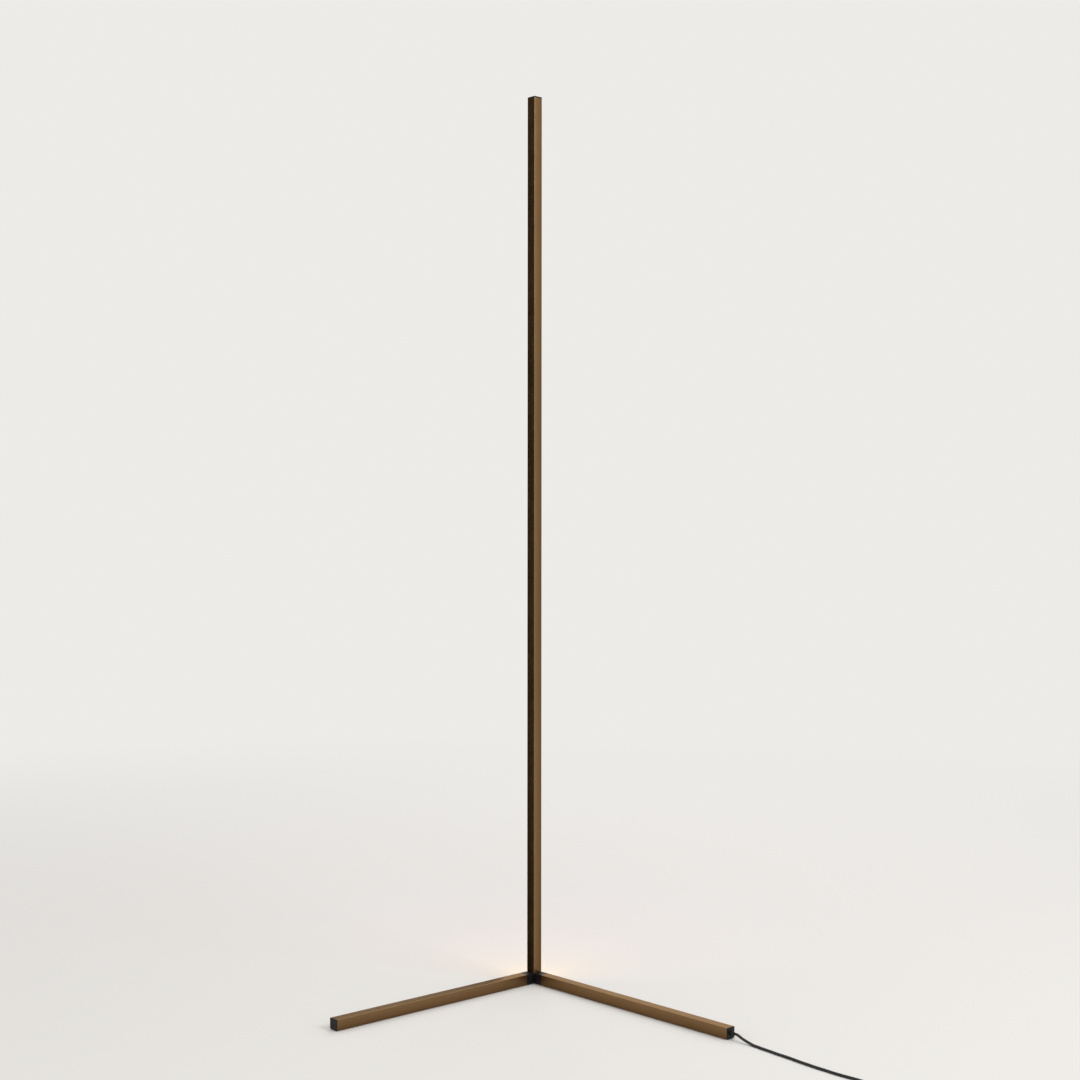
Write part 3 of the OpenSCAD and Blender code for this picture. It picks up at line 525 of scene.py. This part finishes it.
@dataclass(frozen=True)
class WovenTie:
    """Nylon, woven into a narrow band: crossing rows of small knuckles.

    It gives the eye a dull black band with a regular small weave.
    """

    colour: str = "#0E0E0E"
    raised_colour: str = "#232221"
    thread: float = 0.55 * MM
    knuckle: float = 0.12 * MM
    fuzz_size: float = 3 * MM
    roughness: Pair = (0.75, 0.95)

    def material(self) -> Material:
        """Makes the weave in the band's own UV map: U goes round it once, V is metres along it.

        Both thread directions are sine waves, and their product makes the knuckles; real threads
        are 0.2 to 0.3 mm apart, and these are drawn coarser so that they show.

        Returns:
            The material.
        """
        mix = Recipe("black_nylon_woven_tie")
        along = mix.add("SeparateXYZ", {0: mix.add("UVMap", uv_map="along")}, "Y")
        across = mix.add("SeparateXYZ", {0: mix.add("TexCoord", out="Object")}, "Y")
        waves = [mix.add("Math", {0: mix.add("Math", {0: way, 1: math.pi / self.thread},
                                             operation="MULTIPLY")}, operation="SINE")
                 for way in (along, across)]
        weave = mix.add("MapRange", {"Value": mix.add(
            "Math", {0: waves[0], 1: waves[1]}, operation="MULTIPLY"), "From Min": -1.0})
        fuzz = mix.patches(self.fuzz_size)
        return mix.finish({
            **mix.uneven(fuzz, self.roughness, weave, self.knuckle),
            "Base Color": mix.add("Mix", {0: weave, 6: linear(self.colour),
                                          7: linear(self.raised_colour)}, 2, data_type="RGBA"),
            "IOR": 1.53, "Sheen Weight": 0.2})


@dataclass(frozen=True)
class CordSheath:
    """Black PVC, extruded over the leads: satin, with faint lines from the die and slow waves.

    It gives the eye a soft dark cord with one long highlight that wavers a little.
    """

    colours: tuple[str, str] = ("#09090A", "#141313")
    roughness: Pair = (0.35, 0.5)
    dust_size: float = 9 * MM
    line_cell: Triple = (1 / 16, 80 * MM, 1.0)
    line_depth: float = 0.006 * MM
    wave_cell: Triple = (1 / 2, 12 * MM, 1.0)
    wave_depth: float = 0.025 * MM

    def material(self) -> Material:
        """Makes the sheath in the tube's own UV map: U goes round once, V is metres along it.

        Returns:
            The material.
        """
        mix = Recipe("black_pvc_extruded_sheath")
        skin = mix.add("UVMap", uv_map="along")
        inputs = mix.worn(mix.patches(self.dust_size), self.colours, self.roughness,
                          mix.patches(self.wave_cell, skin, 2.0), self.wave_depth)
        inputs["Normal"] = mix.add("Bump", {
            "Height": mix.patches(self.line_cell, skin, 2.0), "Distance": self.line_depth,
            "Normal": inputs["Normal"]})
        return mix.finish({**inputs, "IOR": 1.53, "Specular IOR Level": 0.4})


@dataclass(frozen=True)
class PlatedMetal:
    """A plated metal: bright, with the thin haze and small scratches of barrel plating.

    It gives the eye a clear but not quite even mirror.
    """

    name: str
    colours: tuple[str, str]
    roughness: Pair
    haze_size: float = 2.2 * MM
    scratch: float = 0.5 * MM
    scratch_depth: float = 0.0015 * MM
    slant: float = -30.0

    @cache
    def material(self) -> Material:
        """Makes the plate once: haze in colour and roughness, and slanted scratches.

        A scratch is 8 times as long as wide.

        Returns:
            The material.
        """
        mix = Recipe(self.name)
        slanted = mix.add("Mapping", {"Vector": mix.add("TexCoord", out="Object"),
                                      "Rotation": (0.0, 0.0, math.radians(self.slant))})
        lines = mix.patches((self.scratch, 8 * self.scratch, self.scratch), slanted)
        return mix.finish({**mix.worn(mix.patches(self.haze_size), self.colours,
                                      self.roughness, lines, self.scratch_depth),
                           "Metallic": 1.0})


ZINC = PlatedMetal("steel_bright_zinc_plated", ("#BFC0BE", "#A9ABAA"), (0.26, 0.36))
NICKEL = PlatedMetal("brass_nickel_plated", ("#D8D4C8", "#CBC5B5"), (0.2, 0.3))


@dataclass(frozen=True)
class PrintedCircuit:
    """A printed circuit: solder mask over copper tracks, glossy and slightly uneven.

    It gives the eye thin tracks a shade lighter than the mask between them.
    """

    name: str
    mask: str
    track: str
    pitch: float
    track_share: float = 0.12
    track_length: float = 2.0
    track_height: float = 0.03 * MM
    blur_size: float = 1.5 * MM
    roughness: Pair = (0.22, 0.36)

    @cache
    def material(self) -> Material:
        """Makes the mask once: tracks are the joints of a brick pattern, measured in pitches.

        Returns:
            The material.
        """
        mix = Recipe(self.name)
        cells = mix.add("VectorMath", {0: mix.add("TexCoord", out="Object"),
                                       1: (1 / self.pitch,) * 3}, operation="MULTIPLY")
        tracks = mix.add("TexBrick", {
            "Vector": cells, "Scale": 1.0, "Mortar Size": self.track_share, "Row Height": 1.0,
            "Brick Width": self.track_length, "Color1": linear(self.mask),
            "Color2": linear(self.mask), "Mortar": linear(self.track)})
        blur = mix.patches(self.blur_size, detail=2.0)
        return mix.finish({
            **mix.uneven(blur, self.roughness, tracks.node.outputs["Fac"], self.track_height),
            "Base Color": tracks})


GREEN_BOARD = PrintedCircuit("epoxy_board_green_mask", "#175234", "#2F7A4C", 1.3 * MM)
WHITE_TAPE = PrintedCircuit("polyimide_tape_white_mask", "#E9E8E0", "#D8B783", 2.6 * MM)


# ---------------- surfaces

def spline_through(points: np.ndarray, step: float) -> np.ndarray:
    """A smooth line through points: a natural cubic spline over the chord length.

    In each span of length h, with second derivatives m at its ends and u from 0 to h,
    p(u) = (m0 (h-u)^3 + m1 u^3) / 6h + (p0/h - m0 h/6)(h-u) + (p1/h - m1 h/6) u.

    Args:
        points: the points, one row each.
        step: the distance between the points that come back.

    Returns:
        Points at even chord steps.
    """
    chord = np.linalg.norm(np.diff(points, axis=0), axis=1)
    at = np.concatenate([[0.0], np.cumsum(chord)])
    count = len(points)
    slope = np.diff(points, axis=0) / chord[:, None]
    system = np.eye(count)
    right = np.zeros_like(points)
    inner = np.arange(1, count - 1)
    system[inner, inner - 1] = chord[:-1]
    system[inner, inner] = 2 * (chord[:-1] + chord[1:])
    system[inner, inner + 1] = chord[1:]
    right[inner] = 6 * np.diff(slope, axis=0)
    bend = np.linalg.solve(system, right)
    wanted = np.linspace(0.0, at[-1], int(round(at[-1] / step)) + 1)
    i = np.clip(np.searchsorted(at, wanted, side="right") - 1, 0, count - 2)
    h = chord[i][:, None]
    u = (wanted - at[i])[:, None]
    return ((bend[i] * (h - u) ** 3 + bend[i + 1] * u ** 3) / (6 * h)
            + (points[i] / h - bend[i] * h / 6) * (h - u)
            + (points[i + 1] / h - bend[i + 1] * h / 6) * u)


def swept_grid(path: np.ndarray, profile: np.ndarray) -> np.ndarray:
    """A closed profile carried along a line that is never upright.

    With side = tangent x Z and up = side x tangent, both made 1 long, point (i, j) is
    path i + x_j side_i + y_j up_i.

    Args:
        path: points along the line.
        profile: the profile's x and y, one row each, counter-clockwise for who looks along it.

    Returns:
        Points as an array of rings, profile points and coordinates.
    """
    tangent = np.gradient(path, axis=0)
    side = np.cross(tangent, np.array([0.0, 0.0, 1.0]))
    side, up = (way / np.linalg.norm(way, axis=1)[:, None]
                for way in (side, np.cross(side, tangent)))
    return path[:, None] + profile[:, :1] * side[:, None] + profile[:, 1:] * up[:, None]


def grid_faces(rings: int, columns: int, closed: bool, start: int) -> tuple[list, list]:
    """Faces of a grid that is closed round its columns, and round its rings or capped.

    Args:
        rings: number of rings.
        columns: points in a ring.
        closed: whether the last ring joins the first; if not, both get a cap.
        start: number of the grid's first vertex.

    Returns:
        The quads as lists, and the caps as lists.
    """
    spans = rings if closed else rings - 1
    i, j = np.meshgrid(np.arange(spans), np.arange(columns), indexing="ij")
    after, beside = (i + 1) % rings, (j + 1) % columns
    quads = np.stack([i * columns + j, after * columns + j, after * columns + beside,
                      i * columns + beside], axis=-1).reshape(-1, 4) + start
    ends = np.arange(columns) + start
    caps = [] if closed else [ends.tolist(), (ends[::-1] + (rings - 1) * columns).tolist()]
    return quads.tolist(), caps


def mesh_object(name: str, points: np.ndarray, faces: list[list[int]]) -> Object:
    """Makes an object of points and faces at the origin, and links it to the scene.

    Args:
        name: the object's name.
        points: an array with coordinates as its last axis.
        faces: the vertices of each face.

    Returns:
        The object.
    """
    mesh = bpy.data.meshes.new(name)
    mesh.from_pydata(points.reshape(-1, 3).tolist(), [], faces)
    mesh.update()
    made = bpy.data.objects.new(name, mesh)
    SCENE.collection.objects.link(made)
    return made


def grid_object(name: str, grids: list[np.ndarray], closed: bool = False,
                smooth: bool = True) -> Object:
    """Makes one object of grids of points, each closed round its columns.

    Its UV map "along" has U once round a ring and V the distance along the grid in metres.

    Args:
        name: the object's name.
        grids: arrays of rings, columns and coordinates.
        closed: whether each grid's last ring joins its first.
        smooth: whether the faces are shaded smooth.

    Returns:
        The object, at the origin.
    """
    faces, caps, runs = [], [], []
    start = 0
    for grid in grids:
        rings, columns = grid.shape[:2]
        quads, ends = grid_faces(rings, columns, closed, start)
        faces += quads
        caps += ends
        way = np.linalg.norm(np.diff(grid.mean(axis=1), axis=0), axis=1)
        along = np.concatenate([[0.0], np.cumsum(way)])
        runs.append(np.stack([np.tile(np.arange(columns) / columns, rings),
                              np.repeat(along, columns)], axis=1))
        start += rings * columns
    made = mesh_object(name, np.concatenate([g.reshape(-1, 3) for g in grids]), faces + caps)
    owner = np.zeros(len(made.data.loops), np.int32)
    made.data.loops.foreach_get("vertex_index", owner)
    made.data.uv_layers.new(name="along").data.foreach_set(
        "uv", np.concatenate(runs)[owner].astype(np.float32).ravel())
    made.data.polygons.foreach_set("use_smooth", [smooth] * len(faces) + [False] * len(caps))
    return made


def round_profile(radius: float, sides: int) -> np.ndarray:
    """A circle's points: (r cos a, r sin a) for even a."""
    angle = np.linspace(0.0, 2 * np.pi, sides, endpoint=False)
    return radius * np.stack([np.cos(angle), np.sin(angle)], axis=1)


# ---------------- cords

@dataclass
class Cords:
    """The two free cords: lamp to controller, and controller to adapter with its neat coil.

    The exit, the heights, the routes, the controller and the coil are in plain millimetres, as
    in the CAD source.
    """

    diameter: float = 4 * MM
    sides: int = 16
    step: float = 1.5 * MM
    lamp_exit: Pair = (287.0849, -145.2289)
    exit_z: float = 9.2
    split_z: float = 6.0
    adapter_z: float = 8.5
    controller_l: float = 62.0
    boot_l: float = 9.0
    coil_r: float = 24.0
    turn_pitch: float = 4.5
    coil_turns: float = 8.5
    rings_a_turn: int = 24
    coil_lead: float = 12.0
    tie_w: float = 9 * MM
    tie_t: float = 0.8 * MM
    tie_edge: Pair = (0.12, 0.15)
    tie_power: float = 5.0
    tie_points: int = 64

    run_by_hand: tuple[Triple, ...] = (
        (0, 0, 1), (3, -3, 1), (8, -9, 0.7), (13, -15, 0.4), (19, -22, 0.15), (25, -30, 0),
        (32, -39, 0), (39, -48, 0), (47, -58, 0), (54, -67, 0), (62, -76, 0), (70, -86, 0),
        (79, -98, 0), (88, -109, 0), (98, -121, 0), (108, -132, 0), (118, -143, 0),
        (128, -153, 0), (138, -162, 0), (148, -172, 0), (156, -184, 0), (160, -197, 0),
        (159, -210, 0), (153, -222, 0), (143, -232, 0.1), (131, -238, 0.35),
        (120, -240, 0.75), (112, -240, 1), (107, -240, 1))
    link_by_hand: tuple[Triple, ...] = (
        (0, 0, 1), (-5, 0, 1), (-11, 0, 0.8), (-17, 0, 0.5), (-23, 0, 0), (-29, 0, 0),
        (-35, 0, 0), (-40, 0, 0))
    tail_by_hand: tuple[Triple, ...] = (
        (0, 0, 1), (3, 0, 1), (6, 0, 0.97), (12, -0.5, 0.85), (19, -1.5, 0.63),
        (26, -3, 0.38), (33, -5.5, 0.16), (40, -8.5, 0.03), (47, -11, 0), (54, -13, 0.3),
        (60, -14, 0.8), (65, -14, 1), (69, -14, 1))

    def laid(self, route: tuple, start: Pair, z_start: float, z_end: float) -> np.ndarray:
        """Points of a stretch: each height is a share of its nearer end's height over the floor.

        Args:
            route: x, y and the share of each point.
            start: where the stretch starts, in mm.
            z_start: height of its start, in mm.
            z_end: height of its end, in mm.

        Returns:
            The points, in mm.
        """
        points = np.array(route, float)
        rest = self.diameter / MM / 2
        high = np.where(np.arange(len(points)) < len(points) / 2, z_start, z_end)
        points[:, :2] += start
        points[:, 2] = rest + points[:, 2] * (high - rest)
        return points

    def coil(self, centre: np.ndarray) -> np.ndarray:
        """The coil: the radius grows and falls by a pitch a turn, two turns a layer.

        At turn t, r = coil_r + pitch (1 - min(u, 4 - u)) with u = t modulo 4, and past t = 8 it
        grows on. The angle is 90 + 360 t degrees, and each layer's climb is a smooth step over
        half a turn round t = 2, 4 and 6.

        Args:
            centre: x and y of the middle, in mm.

        Returns:
            The points, in mm.
        """
        t = np.arange(int(self.coil_turns * self.rings_a_turn) + 1) / self.rings_a_turn
        u = np.mod(t, 4)
        swing = np.where(t > 8, 8 - t, np.minimum(u, 4 - u))
        radius = self.coil_r + self.turn_pitch * (1 - swing)
        angle = np.radians(90 + 360 * t)
        up = np.clip(2 * (t[:, None] - np.array([2.0, 4.0, 6.0])) + 0.5, 0, 1)
        climb = (up * up * (3 - 2 * up)).sum(axis=1)
        return np.stack([centre[0] + radius * np.cos(angle), centre[1] + radius * np.sin(angle),
                         self.diameter / MM / 2 + self.turn_pitch * climb], axis=1)

    def routes(self) -> tuple[np.ndarray, np.ndarray, np.ndarray]:
        """Works out both cords' smooth centrelines.

        The controller's cord holes are at the split of its shells.

        Returns:
            The lamp's cord, the supply cord, and the coil's middle on the floor, in metres.
        """
        run = self.laid(self.run_by_hand, self.lamp_exit, self.exit_z, self.split_z)
        link_start = (run[-1, 0] - 2 * self.boot_l - self.controller_l, run[-1, 1])
        link = self.laid(self.link_by_hand, link_start, self.split_z, self.diameter / MM / 2)
        centre = np.array([link[-1, 0] - self.coil_lead,
                           link[-1, 1] - self.coil_r - self.turn_pitch])
        turns = self.coil(centre)
        leads = np.array([[self.coil_lead * i / 3, 0.0, 0.0] for i in (1, 2, 3)])
        end = turns[-1] + leads[-1]
        tail = self.laid(self.tail_by_hand, (end[0], end[1]), end[2], self.adapter_z)
        supply = np.concatenate([link[:-1], turns[0] + leads[::-1], turns, turns[-1] + leads[:2],
                                 tail])
        lines = [spline_through(points * MM, self.step) for points in (run, supply)]
        for line in lines:
            line[:, 2] = np.maximum(line[:, 2], self.diameter / 2)
        return lines[0], lines[1], centre * MM

    def tie(self, centre: np.ndarray) -> Object:
        """Makes the woven tie round the coil, a flat band carried round a rounded rectangle.

        The line is a superellipse of power tie_power in the plane of the radius and Z, which
        stands on the floor; the band's inner face is one thickness inside it. tie_edge is the
        share of the width and of the thickness over which the band's edges are rounded.

        Args:
            centre: the coil's middle on the floor.

        Returns:
            The tie.
        """
        angle = np.linspace(0.0, 2 * np.pi, self.tie_points, endpoint=False)
        radius = self.coil_r * MM
        high = (self.diameter + 3 * self.turn_pitch * MM) / 2 + self.tie_t / 2
        wide = (self.diameter + 2 * self.turn_pitch * MM) / 2 + self.tie_t
        along, deep = self.tie_edge
        across = np.array([0.0, along, 1 - along, 1.0]) - 0.5
        sides = np.concatenate([across, across[::-1]]) * self.tie_w
        outer = np.array([deep, 0.0, 0.0, deep])
        inset = np.concatenate([outer, 1 - outer]) * self.tie_t
        cos, sin = np.cos(angle)[:, None], np.sin(angle)[:, None]
        power = 2 / self.tie_power
        out = np.sign(cos) * np.abs(cos) ** power * (wide - inset)
        up = high + np.sign(sin) * np.abs(sin) ** power * (high - inset)
        x = centre[0] - radius + out
        y = centre[1] + np.broadcast_to(sides, out.shape)
        return grid_object("coil_tie", [np.stack([x, y, up], axis=-1)[:, ::-1]], closed=True)

    def build(self) -> None:
        """Makes both cords and the tie, and hides the CAD model's own cords."""
        lamp, supply, centre = self.routes()
        section = round_profile(self.diameter / 2, self.sides)
        lamp_cord = grid_object("lamp_cord", [swept_grid(lamp, section)])
        supply_cord = grid_object("supply_cord", [swept_grid(supply, section)])
        tie = self.tie(centre)
        for piece in (lamp_cord, supply_cord, tie):
            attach(piece, "lamp")
            log.info("made %s", piece.name)
        dress(["lamp_cord", "supply_cord"], CordSheath().material())
        dress(["coil_tie"], WovenTie().material())
        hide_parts("cord_run")
        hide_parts("cord_link", "cord_coil", "cord_tail")
        nodes = frame["nodes"]
        on_lamp_cord = [nodes[n] for n in nodes if n.startswith("controller_")
                        or n.endswith("_key") or n == "cord_grommet"]
        on_lamp_cord += [piece for piece in bpy.data.objects
                         if piece.name.endswith(("_mark", "_lens"))]


# ---------------- sub-assemblies of the lamp

@dataclass
class Pole:
    """The upright: profile, milky cover, light tape with its packages, clip, top cap and screw."""

    def build(self) -> None:
        """Dresses the pole's CAD nodes."""
        dress(["pole"], BronzeAnodising().material(Bar.POLE))
        dress(["pole_cover"], MilkyCover().material())
        dress(["led_tape"], WHITE_TAPE.material())
        dress(["led_chips"], LED_PACKAGE.material())
        dress(["tape_connector"], CLIP_PLASTIC.material())
        dress(["top_cap"], BLACK_NYLON.material())
        dress(["pole_screw"], ZINC.material())


@dataclass
class Foot:
    """The corner block, both legs with their caps, screws and pads, and the lead inside."""

    def build(self) -> None:
        """Dresses the foot's CAD nodes."""
        for bar in (Bar.LEFT_LEG, Bar.RIGHT_LEG):
            dress([bar.name.lower()], BronzeAnodising().material(bar))
        dress(["corner_block", "left_leg_cap", "right_leg_cap"], BLACK_NYLON.material())
        dress(["leg_screws", "cord_stop"], ZINC.material())
        dress(["foot_pads", "cord_grommet", "inner_lead"], SOFT_RUBBER.material())


@dataclass
class Controller:
    """The in-line controller: shells, board, switches, window, boots, screws and printed keys."""

    mark_radius: float = 1.55 * MM
    mark_width: float = 0.38 * MM
    mark_height: float = 0.06 * MM
    arc_points: int = 28
    lens_radius: float = 2.4 * MM
    lens_proud: float = 0.6 * MM
    lens_flange: float = 0.8 * MM
    lens_sides: int = 64
    lens_rows: int = 12
    lens_first: float = 84.0
    lens_sharp: float = 50.0

    def key_top(self, node: str) -> np.ndarray:
        """Gives the middle of a key's top face."""
        low, high = np.array(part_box(node))
        return np.array([*(low + high)[:2] / 2, high[2]])

    def stroke(self, at: np.ndarray, points: np.ndarray) -> np.ndarray:
        """Carries the print's flat section, which stands on the key's top, along points on it.

        Args:
            at: the middle of the key's top.
            points: x and y from there, one row each.

        Returns:
            The stroke's grid.
        """
        half, high = self.mark_width / 2, self.mark_height
        section = np.array([(half, 0.0), (half, high), (-half, high), (-half, 0.0)])
        return swept_grid(at + np.pad(points, ((0, 0), (0, 1))), section)

    def arc(self, at: np.ndarray, radius: float, first: float, last: float) -> np.ndarray:
        """Carries the print along an arc: (r cos a, r sin a), with a from first to last degrees."""
        angle = np.radians(np.linspace(first, last, self.arc_points))
        return self.stroke(at, radius * np.stack([np.cos(angle), np.sin(angle)], axis=1))

    def marks(self) -> dict[str, list[np.ndarray]]:
        """Works out the plain signs on the keys: ring and bar, three rings, two arrows.

        Their places and sizes are shares of mark_radius.

        Returns:
            For each key's node, the grids of its sign.
        """
        r = self.mark_radius
        power, colour, speed = (self.key_top(f"{n}_key") for n in ("power", "colour", "speed"))
        rings = [self.arc(colour + np.array([x * r * 0.6, y * r * 0.6, 0.0]), r * 0.35, 0, 360)
                 for x, y in ((0.0, 1.0), (-0.87, -0.5), (0.87, -0.5))]
        arrows = [self.stroke(speed, r * np.array([(x, 0.75), (x + 0.62, 0.0), (x, -0.75)]))
                  for x in (-0.75, 0.0)]
        bar = self.stroke(power, r * np.array([(0.0, 0.25), (0.0, 0.75), (0.0, 1.25)]))
        return {"power_key": [self.arc(power, r, 125, 415), bar],
                "colour_key": rings, "speed_key": arrows}

    def lens(self) -> Object:
        """Turns the receiver's lens: a smooth dome on a stem, with a flange under the cover.

        The dome's outline is (r cos a, top - proud (1 - sin a)), with a from lens_first degrees,
        near the top, to 0 at its rim.

        Returns:
            The lens.
        """
        low, high = np.array(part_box("controller_window"))
        a = np.radians(np.linspace(self.lens_first, 0.0, self.lens_rows))
        wide = (high[0] - low[0]) / 2
        under = low[2] + self.lens_flange
        r = np.array([*(self.lens_radius * np.cos(a)), self.lens_radius, wide, wide])
        z = np.array([*(high[2] - self.lens_proud * (1 - np.sin(a))), under, under, low[2]])
        rings = np.zeros((len(r), self.lens_sides, 3))
        rings[:, :, :2] = (low + high)[:2] / 2 + r[:, None, None] * round_profile(
            1.0, self.lens_sides)
        rings[:, :, 2] = z[:, None]
        made = grid_object("receiver_lens", [rings])
        made.data.set_sharp_from_angle(angle=math.radians(self.lens_sharp))
        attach(made, "lamp")
        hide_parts("controller_window")
        return made

    def build(self) -> None:
        """Dresses the controller, turns its lens and prints its keys."""
        dress(["controller_base", "controller_cover"], BLACK_ABS.material())
        dress(["controller_board"], GREEN_BOARD.material())
        dress(["controller_switches"], BLACK_NYLON.material())
        dress([self.lens().name], RED_ACRYLIC.material())
        dress(["controller_boots"], SOFT_RUBBER.material())
        dress(["controller_screws"], ZINC.material())
        keys = GREY_KEY.material()
        print_ink = KEY_PRINT.material()
        for key, grids in self.marks().items():
            dress([key], keys)
            mark = grid_object(key.replace("key", "mark"), grids, smooth=False)
            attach(mark, key.replace("key", "button"))
            dress([mark.name], print_ink)


@dataclass
class Adapter:
    """The plug-in adapter: case, face, blades, board and boot."""

    def build(self) -> None:
        """Dresses the adapter's CAD nodes."""
        dress(["adapter_case", "adapter_face"], BLACK_ABS.material())
        dress(["adapter_board"], GREEN_BOARD.material())
        dress(["adapter_blades"], NICKEL.material())
        dress(["adapter_boot"], SOFT_RUBBER.material())


# ---------------- studio

@dataclass
class Studio:
    """Pale floor that fades into a pale room, soft lamps, and the camera.

    Each softbox has its name, place, the point it looks at, its side and its power in watts.
    """

    pale: str = "#EDEBE8"
    floor_radius: float = 14.0
    floor_sides: int = 96
    fade_start: float = 0.6
    fade_end: float = 3.4
    fill_colour: str = "#F4F3F1"
    fill: float = 0.7
    flag_rows: tuple[tuple[float, float, float, float], ...] = (
        (-0.03, 0.006, 0.122, 0.166), (-0.45, 0.38, -0.02, 0.32), (-0.45, 1.65, -0.06, 0.34))
    flag_grey: str = "#100E0D"
    glow_y: float = 148 * MM
    glow_width: float = 14 * MM
    glow_watts: float = 0.06
    glow_parts: int = 8
    softboxes: tuple[tuple, ...] = (
        ("key_softbox", (2.6, -1.6, 2.6), (0.0, 0.0, 0.6), 1.8, 52.0),
        ("left_softbox", (-2.4, -2.2, 1.8), (0.0, 0.0, 0.5), 1.6, 12.0),
        ("back_softbox", (0.4, 2.8, 2.4), (0.0, 0.1, 0.6), 1.8, 22.0))
    lens: float = 57.65
    sensor: float = 36.0
    clip: Pair = (0.05, 60.0)
    shift_x: float = 0.0926
    eye: Triple = (0.0513, -2.5985, 0.7346)
    ahead: Pair = (-0.07324, 0.99731)
    pitch: float = 0.688

    @staticmethod
    def aimed(name: str, data: Camera | Light, at: Triple, way: Vector) -> Object:
        """Hangs a camera or a lamp, unseen, at a place, so that it looks along a way.

        Args:
            name: its name.
            data: the camera or the lamp.
            at: where it hangs.
            way: where it looks.

        Returns:
            The object.
        """
        made = bpy.data.objects.new(name, data)
        made.location = at
        made.rotation_mode = "QUATERNION"
        made.rotation_quaternion = way.to_track_quat("-Z", "Y")
        made.visible_camera = False
        SCENE.collection.objects.link(made)
        return made

    def camera(self) -> None:
        """Makes the camera at the eye, looking level ahead and down by the pitch."""
        data = bpy.data.cameras.new("eye_level_camera")
        data.lens, data.sensor_width, data.shift_x = self.lens, self.sensor, self.shift_x
        data.clip_start, data.clip_end = self.clip
        pitch = math.radians(self.pitch)
        level = math.cos(pitch)
        look = Vector((self.ahead[0] * level, self.ahead[1] * level, -math.sin(pitch)))
        SCENE.camera = self.aimed("eye_level_camera", data, self.eye, look)
        log.info("made the camera")

    def floor(self) -> None:
        """Makes the round floor."""
        ring = np.pad(round_profile(self.floor_radius, self.floor_sides), ((0, 0), (0, 1)))
        floor = mesh_object("studio_floor", ring, [list(range(self.floor_sides))])
        floor.data.materials.append(self.floor_paint())

    def floor_paint(self) -> Material:
        """Makes the floor's matt paint, which fades into the room's own paleness far out.

        The share of the room is a smooth step of the distance from the origin, from fade_start
        to fade_end, so that the floor has no edge.

        Returns:
            The material.
        """
        mix = Recipe("floor_matt_paint")
        far = mix.add("VectorMath", {0: mix.add("TexCoord", out="Object")}, "Value",
                      operation="LENGTH")
        share = mix.add("MapRange", {"Value": far, "From Min": self.fade_start,
                                     "From Max": self.fade_end}, interpolation_type="SMOOTHSTEP")
        shown = mix.add("Math", {0: share, 1: mix.looked_at()}, operation="MULTIPLY")
        paint = mix.add("BsdfDiffuse", {"Color": linear(self.pale)})
        room = mix.add("Emission", {"Color": linear(self.pale)})
        mix.add("OutputMaterial", {
            "Surface": mix.add("MixShader", {0: shown, 1: paint, 2: room})})
        return mix.owner

    def room(self) -> None:
        """Makes the world: the pale room at strength 1 where it is seen, and a soft fill."""
        mix = Recipe("pale_room", is_world=True)
        SCENE.world = mix.owner
        fill = mix.add("Background", {"Color": linear(self.fill_colour), "Strength": self.fill})
        shown = mix.add("Background", {"Color": linear(self.pale)})
        mix.add("OutputWorld", {
            "Surface": mix.add("MixShader", {0: mix.looked_at(), 1: fill, 2: shown})})

    def lamp(self, name: str, at: Triple, way: Vector, size: Pair, watts: float) -> Object:
        """Makes one soft lamp.

        Args:
            name: the lamp's name.
            at: where it hangs.
            way: where it shines.
            size: its width and height.
            watts: its power.

        Returns:
            The lamp.
        """
        data = bpy.data.lights.new(name, "AREA")
        data.shape = "RECTANGLE"
        data.size, data.size_y = size
        data.energy = watts
        return self.aimed(name, data, at, way)

    def flag(self) -> None:
        """Makes the dark flag left of the pole, which only gloss sees: its left face goes dark.

        It is a strip through flag_rows, each with x, z and the two ends along y: narrow beside
        the pole's foot, and wide and upright further out.
        """
        corners = [(x, y, z) for x, z, first, last in self.flag_rows for y in (first, last)]
        flag = mesh_object("studio_flag", np.array(corners), [[0, 1, 3, 2], [2, 3, 5, 4]])
        cloth = Recipe("flag_dark_cloth")
        flag.data.materials.append(cloth.finish({"Base Color": linear(self.flag_grey),
                                                 "Roughness": 0.9}))
        flag.visible_camera = flag.visible_diffuse = flag.visible_shadow = False
        flag.visible_transmission = False

    def own_light(self) -> None:
        """Makes the lamp's own light on the floor: thin soft lamps behind its milky cover.

        Each stands at the middle of its share of the cover's height and has the glow's colour
        there.
        """
        cover = MilkyCover()
        tall = cover.top - cover.foot
        for part in range(self.glow_parts):
            share = (part + 0.5) / self.glow_parts
            made = self.lamp(f"own_light_{part}", (0.0, self.glow_y, cover.foot + share * tall),
                             Vector((0.0, 1.0, 0.0)), (self.glow_width, tall / self.glow_parts),
                             self.glow_watts)
            made.data.color = cover.colour_at(share)
            made.visible_glossy = False

    def build(self) -> None:
        """Makes the floor, the room and the lamps."""
        SCENE.view_settings.view_transform = "Standard"
        self.floor()
        self.room()
        self.flag()
        self.own_light()
        for name, at, aim, size, watts in self.softboxes:
            self.lamp(name, at, Vector(aim) - Vector(at), (size, size), watts)
        log.info("made the studio")


def main() -> None:
    """Builds the camera, each sub-assembly, the cords that carry two of them, and the studio."""
    logging.basicConfig(level=logging.INFO, format="%(name)s: %(message)s")
    studio = Studio()
    studio.camera()
    for part in (Pole(), Foot(), Controller(), Adapter(), Cords()):
        part.build()
        log.info("finished %s", type(part).__name__)
    studio.build()


if __name__ == "__main__":
    main()
